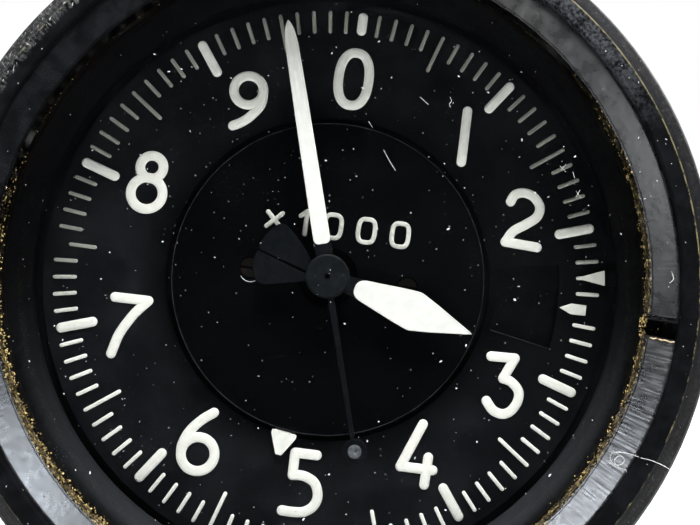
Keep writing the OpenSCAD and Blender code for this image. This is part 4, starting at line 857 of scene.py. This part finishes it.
def grain(shape, x, y, h, size):
    """A crumb with five ragged sides, a top and a foot."""
    tall = size * 1.1
    spin = rng.uniform(0, 6.283)
    pts = []
    for k in range(5):
        a = spin + k * 1.2566 + rng.uniform(-0.3, 0.3)
        rr = size * rng.uniform(0.6, 1.1)
        pts.append((x + rr * math.cos(a), y + rr * math.sin(a), h + tall * rng.uniform(0.15, 0.5)))
    top = (x + size * rng.uniform(-0.3, 0.3), y + size * rng.uniform(-0.3, 0.3), h + tall * rng.uniform(0.8, 1.5))
    verts = pts + [top, (x, y, h - 0.02)]
    faces = [[k, (k + 1) % 5, 5] for k in range(5)] + [[(k + 1) % 5, k, 6] for k in range(5)]
    shape.add(verts, faces)


def crowd(a):
    """How thick the crumbs lie at a clock angle."""
    def peak(centre, spread):
        d = (a - centre + 180) % 360 - 180
        return math.exp(-(d / spread) ** 2)
    return 0.015 + 1.0 * peak(235, 34) + 0.62 * peak(108, 42) + 0.25 * peak(275, 18) + 0.25 * peak(175, 30)


def speck_level(x, y):
    """Height of the face that a speck outside the glass lies on."""
    return RING_TOP if math.hypot(x, y) < 38.1 else RIM


crumbs = Shape()
for _ in range(CRUMB_TRIES):
    a = rng.uniform(0, 360)
    if rng.random() > crowd(a):
        continue
    low_left = 205 < a < 272
    in_split = abs((a - SPLIT_ANGLE + 180) % 360 - 180) < 1.6
    r = RING_FOOT_R - abs(rng.gauss(0, 0.24 if low_left else 0.16))
    size = rng.choice((0.045, 0.055, 0.07, 0.085, 0.10, 0.13 if low_left else 0.08))
    size *= 1.5 if low_left and rng.random() < 0.05 else 1
    if in_split:
        r = rng.uniform(34.5, 37.4)
    grain(crumbs, *clock(r, a), GLASS_TOP + 0.01, size)
for _ in range(SPLIT_CRUMBS):
    x, y = clock(rng.uniform(34.0, 34.8), SPLIT_ANGLE + rng.uniform(-1.7, 1.7))
    grain(crumbs, x, y, GLASS_TOP + 0.01, rng.choice((0.05, 0.07, 0.10)))
crumbs.make("ring_crumbs", "case", "ring_enamel", gold_grains(), smooth=False, merge=False)


def chip(shape, x, y, h, length, width, thick):
    """A flat ragged flake, longer than wide."""
    spin = rng.uniform(0, 6.283)
    sx, cx = math.sin(spin), math.cos(spin)
    foot = []
    for k in range(7):
        a = 6.283 * k / 7
        u = length / 2 * math.cos(a) * rng.uniform(0.6, 1.1)
        v = width / 2 * math.sin(a) * rng.uniform(0.5, 1.2)
        foot.append((x + u * cx - v * sx, y + u * sx + v * cx))
    verts = [(px, py, h - 0.01) for px, py in foot]
    verts += [(x + (px - x) * 0.8, y + (py - y) * 0.8, h + thick * rng.uniform(0.6, 1.2)) for px, py in foot]
    faces = [[k, (k + 1) % 7, 7 + (k + 1) % 7, 7 + k] for k in range(7)] + [list(range(7, 14))]
    shape.add(verts, faces)


dust = Shape()
for _ in range(GLASS_DUST):
    a, r = rng.uniform(0, 360), GLASS_R * math.sqrt(rng.random())
    x, y = clock(r, a)
    size = rng.choice((0.06, 0.08, 0.10, 0.13, 0.18)) * (1.15 if x > 0 else 0.9)
    chip(dust, x, y, GLASS_TOP, size * rng.uniform(1.0, 2.4), size, size * 0.4)
for _ in range(DIAL_DUST):
    a, r = rng.uniform(0, 360), DIAL_R * math.sqrt(rng.random())
    size = rng.choice((0.07, 0.09, 0.12))
    chip(dust, *clock(r, a), DIAL, size * rng.uniform(1.0, 2.2), size, size * 0.4)
for _ in range(RING_DUST):
    a, r = rng.uniform(20, 250), rng.choice((rng.uniform(34.9, 37.3), rng.uniform(38.5, 39.3)))
    x, y = clock(r, a)
    size = rng.choice((0.05, 0.07, 0.10))
    chip(dust, x, y, speck_level(x, y), size * rng.uniform(1.0, 3.5), size, size * 0.3)
CHIPS = ((36.06, 11.34), (36.30, 11.15), (37.01, 8.44), (37.26, 8.15), (36.86, 8.85), (26.61, 27.47),
         (33.79, 14.40))
for x, y in CHIPS:
    chip(dust, x, y, speck_level(x, y), 0.22, 0.10, 0.05)
# white of dust specks and glass scratches, also used for the painted highlight on the screw hole's lip
dust_and_highlight_white = plain_paint("dust_and_highlight_white", (0.50, 0.51, 0.53), (0.92, 0.92, 0.90), 0.4, 0.6, 3.0, 0.3)
dust.make("dust_specks", "case", "window_glass", dust_and_highlight_white, smooth=False, merge=False)


def fibre(shape, points, thickness, sides=5):
    """A thin round thread with tapered ends along a curve in space."""
    path = smooth_path(points, steps=6)
    verts, faces = [], []
    for i, p in enumerate(path):
        a, b = Vector(path[max(i - 1, 0)]), Vector(path[min(i + 1, len(path) - 1)])
        t = (b - a).normalized()
        u = t.cross(Vector((0, 0, 1)))
        u = u.normalized() if u.length > 1e-6 else Vector((1, 0, 0))
        v = t.cross(u)
        taper = min(1.0, 0.35 + min(i, len(path) - 1 - i) * 0.2)
        for k in range(sides):
            c = TURN * k / sides
            q = Vector(p) + (u * math.cos(c) + v * math.sin(c)) * thickness * taper
            verts.append(tuple(q))
    for i in range(len(path) - 1):
        for k in range(sides):
            j = (k + 1) % sides
            faces.append([i * sides + k, i * sides + j, (i + 1) * sides + j, (i + 1) * sides + k])
    shape.add(verts, faces)


lint = Shape()
fibre(lint, [(32.07, -14.67, 17.66), (32.89, -14.47, 17.70), (33.63, -14.48, 17.76), (34.39, -14.60, 17.95),
             (35.00, -14.72, 18.32), (35.88, -14.81, 18.36), (36.96, -15.09, 18.36), (37.95, -15.48, 18.36),
             (38.6, -15.80, 18.36)], 0.034)
fibre(lint, [(32.07, -14.67, 17.66), (31.92, -15.21, 17.68), (32.28, -15.68, 17.70), (32.93, -15.81, 17.72),
             (33.41, -15.34, 17.74), (33.04, -14.86, 17.80), (32.53, -15.03, 17.82), (32.38, -15.57, 17.80),
             (33.07, -16.10, 17.74), (33.72, -16.23, 17.70), (33.89, -16.83, 17.67), (34.36, -17.29, 17.66),
             (34.53, -17.88, 17.66)], 0.028)
fibre(lint, [(36.3, 5.0, 17.66), (36.6, 4.2, 17.72), (36.2, 3.7, 17.7)], 0.035)
lint_white = plain_paint("lint_white", (0.52, 0.53, 0.54), (0.86, 0.86, 0.84), 0.5, 0.7, 3.0, 0.3)
lint.make("lint_fibres", "case", "ring_enamel", lint_white, merge=False)

scratches = Shape()
for path in ([(4.40, 14.12), (5.12, 13.11), (5.96, 12.07)], [(2.4, 17.0), (2.9, 16.4)], [(7.6, 20.4), (8.6, 19.7)],
             [(23.59, 14.92), (24.31, 14.35)], [(24.22, 15.22), (23.75, 14.50)], [(25.63, 12.44), (26.25, 11.75)],
             [(26.05, 12.60), (25.70, 11.79)], [(25.07, 14.46), (25.31, 13.83)],
             smooth_path([(10.82, 20.85), (11.03, 20.43), (10.86, 20.07), (11.0, 19.76)])):
    bead(scratches, path, 0.045, 0.02, GLASS_TOP, half=2, cap=3)
scratches.make("glass_scratches", "case", "window_glass", dust_and_highlight_white)

# The lower lip of the ring's split, worn to bare brass
split_lip = Shape()
path = [clock(34.9 + 0.32 * k, LIP_ANGLE + 0.07 * math.sin(2.1 * k)) for k in range(9)]
bead(split_lip, path, 0.15, 0.03, RING_TOP - 0.005, half=3, cap=4)
bare_brass = plain_paint("bare_brass", (0.10, 0.06, 0.02), (0.80, 0.66, 0.42), 0.35, 0.5, 2.2, 0.5)
split_lip.make("split_lip", "case", "ring_enamel", bare_brass)

# Painted highlights in the dial: a lit line on the rim of its middle and on the window's lower edge, and a lit white
# crescent on the lip of the left screw hole
edges = Shape()
bead(edges, circle_path(0, 0, GROOVE_R, 180), 0.06, 0.03, DIAL, True, half=2)
bead(edges, [(19.6, -3.66), (26.7, -4.98)], 0.07, 0.04, DIAL, half=2, cap=3)
# painted highlight: lighter lines where these edges catch the light
edge_highlight = plain_paint("edge_highlight", (0.007, 0.0075, 0.009), (0.050, 0.053, 0.058), 0.5, 0.7, 1.5, 0.3, 0.0, 0.2)
edges.make("dial_edge_highlights", "case", "dial_black", edge_highlight)
# painted highlight: a lit white crescent on the lip of the left screw hole
lip = Shape()
path = smooth_path([(-10.18, -1.15), (-9.89, -1.42), (-9.48, -1.62), (-8.96, -1.66), (-8.48, -1.49)])
bead(lip, path, 0.08, 0.05, DIAL - 0.01, half=3, cap=4)
lip.make("screw_hole_lip", "case", "dial_black", dust_and_highlight_white)

# ---- capsules
# The real capsules stretch and shrink between their foot, which stays with the plates, and the head on their top. Here
# each is only copied, in place, into an object of its own, and its CAD part is hidden.
bpy.context.view_layer.update()
for node in ("lower_capsule", "upper_capsule"):
    rigid = frame["nodes"][node]
    o = linked(node + "_flexing", rigid.data.copy())
    o.matrix_world = rigid.matrix_world.copy()
    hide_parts(node)
    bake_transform(o)


# ---- floor, backdrop, light and camera
def most_of(tree, *values):
    """The largest of several values."""
    largest = values[0]
    for value in values[1:]:
        largest = calc(tree, "MAXIMUM", largest, value)
    return largest


def floor_pale():
    """A pale floor that the camera, metal and glass see near white, and that still takes the object's shadow.

    It brightens with distance, so that it meets the backdrop without a line. In front of the object it ends for mirror
    rays, so that the window doesn't show it as a horizon.
    """
    near_glow, near, far, front_y = 0.62, 0.20, 0.70, -0.012
    m = bpy.data.materials.new("floor_pale")
    m.use_nodes = True
    tree = m.node_tree
    tree.nodes.clear()
    plain = add_node(tree, "BsdfDiffuse", {"Color": (0.72, 0.72, 0.71)})
    rays = add_node(tree, "LightPath").outputs
    seen = most_of(tree, rays["Is Camera Ray"], rays["Is Glossy Ray"], rays["Is Transmission Ray"])
    spot = add_node(tree, "NewGeometry").outputs["Position"]
    away = add_node(tree, "VectorMath", {0: spot}, operation="LENGTH").outputs["Value"]
    strength = calc(tree, "MULTIPLY", seen, smooth_step(tree, away, near, far, near_glow, 1.0))
    glow = add_node(tree, "Emission", {"Color": (1, 1, 1), "Strength": strength})
    lit = add_node(tree, "AddShader", {0: plain.outputs[0], 1: glow.outputs[0]})
    in_front = calc(tree, "LESS_THAN", add_node(tree, "SeparateXYZ", {0: spot}).outputs[1], front_y)
    mirrored_front = calc(tree, "MULTIPLY", in_front, rays["Is Glossy Ray"])
    gone = add_node(tree, "BsdfTransparent")
    ends = add_node(tree, "MixShader", {0: mirrored_front, 1: lit.outputs[0], 2: gone.outputs[0]})
    add_node(tree, "OutputMaterial", {"Surface": ends.outputs[0]})
    return m


def sheet(name, corners, material):
    mesh = bpy.data.meshes.new(name)
    mesh.from_pydata(corners, [], [[0, 1, 2, 3]])
    mesh.materials.append(material)
    o = linked(name, mesh)
    return o


FLOOR_REACH = 3.0  # metres to each side
corners = [(x * FLOOR_REACH, y * FLOOR_REACH, cad_box[0].z) for x, y in ((-1, -1), (1, -1), (1, 1), (-1, 1))]
floor = sheet("floor", corners, floor_pale())
floor.visible_shadow = False

# The room gives a trace of cool light. The camera sees it white, and so do metal and glass where they look backwards.
world = bpy.data.worlds.new("studio")
bpy.context.scene.world = world
world.use_nodes = True
tree = world.node_tree
tree.nodes.clear()
room = add_node(tree, "Background", {"Color": (0.80, 0.88, 1.0), "Strength": 0.010})
white = add_node(tree, "Background", {"Color": (1, 1, 1), "Strength": 1.0})
rays = add_node(tree, "LightPath").outputs
direction = add_node(tree, "SeparateXYZ", {0: add_node(tree, "TexCoord").outputs["Generated"]})
behind = smooth_step(tree, direction.outputs[1], 0.0, 0.35)
glossy = most_of(tree, rays["Is Glossy Ray"], rays["Is Transmission Ray"])
choice = most_of(tree, rays["Is Camera Ray"], calc(tree, "MULTIPLY", glossy, behind))
mixed = add_node(tree, "MixShader", {0: choice, 1: room.outputs[0], 2: white.outputs[0]})
add_node(tree, "OutputWorld", {"Surface": mixed.outputs[0]})


def lamp(name, at, target, size, power, colour):
    data = bpy.data.lights.new(name, "AREA")
    data.shape = "DISK"
    data.size = size
    data.energy = power
    data.color = colour
    o = linked(name, data)
    o.visible_camera = False
    o.location = at
    o.rotation_mode = "QUATERNION"
    o.rotation_quaternion = (Vector(target) - Vector(at)).to_track_quat("-Z", "Y")


# name, place and target in metres, size, watts, colour; the small ones make the ring's highlights
LAMPS = (
    ("window", (0.006, -0.167, 0.310), (0, -0.008, 0), 0.14, 2.20, (1.0, 0.995, 0.98)),
    ("low_left", (-0.0844, -0.148, -0.0665), (0, -0.012, 0), 0.042, 0.029, (0.84, 0.91, 1.0)),
    ("low_right", (0.0780, -0.148, -0.0610), (0, -0.012, 0), 0.042, 0.032, (0.86, 0.92, 1.0)),
    ("below", (0.0, -0.120, -0.075), (0, -0.007, 0), 0.03, 0.055, (1.0, 0.99, 0.96)),
    ("side_right", (0.1016, -0.146, 0.0544), (0, -0.012, 0), 0.05, 0.012, (0.92, 0.96, 1.0)),
    ("high_right", (0.26, -0.20, 0.17), (0, -0.012, 0), 0.12, 0.20, (0.95, 0.97, 1.0)),
    ("soft_top", (-0.35, -0.10, 0.60), (0, 0.02, 0), 0.40, 2.4, (1, 1, 1)),
    ("soft_back", (0.30, 0.60, 0.40), (0, 0.03, 0), 0.40, 2.4, (1, 1, 1)),
)
for name, *rest in LAMPS:
    lamp("lamp_" + name, *rest)

# The camera was fitted to the photo: its place in metres and the axis times angle of its turn, with y pointing down.
CAMERA_AT = (0.003846, -0.106569, -0.003028)
CAMERA_TURN = Vector((-0.07182, -0.02579, 0.12862))
camera = bpy.data.cameras.new("camera")
camera.sensor_width, camera.lens = 36, 43.614
camera.shift_x, camera.shift_y = -0.04807, -0.02081
camera.clip_start, camera.clip_end = 0.001, 20
view = linked("camera", camera)
bpy.context.scene.camera = view
R = Matrix.Rotation(CAMERA_TURN.length, 3, CAMERA_TURN.normalized())
right, down, forward = (Vector((row[0], row[2], -row[1])) for row in R)
view.matrix_world = Matrix([(right[i], -down[i], -forward[i], CAMERA_AT[i]) for i in range(3)] + [(0, 0, 0, 1)])
bpy.context.scene.view_settings.view_transform = "Standard"
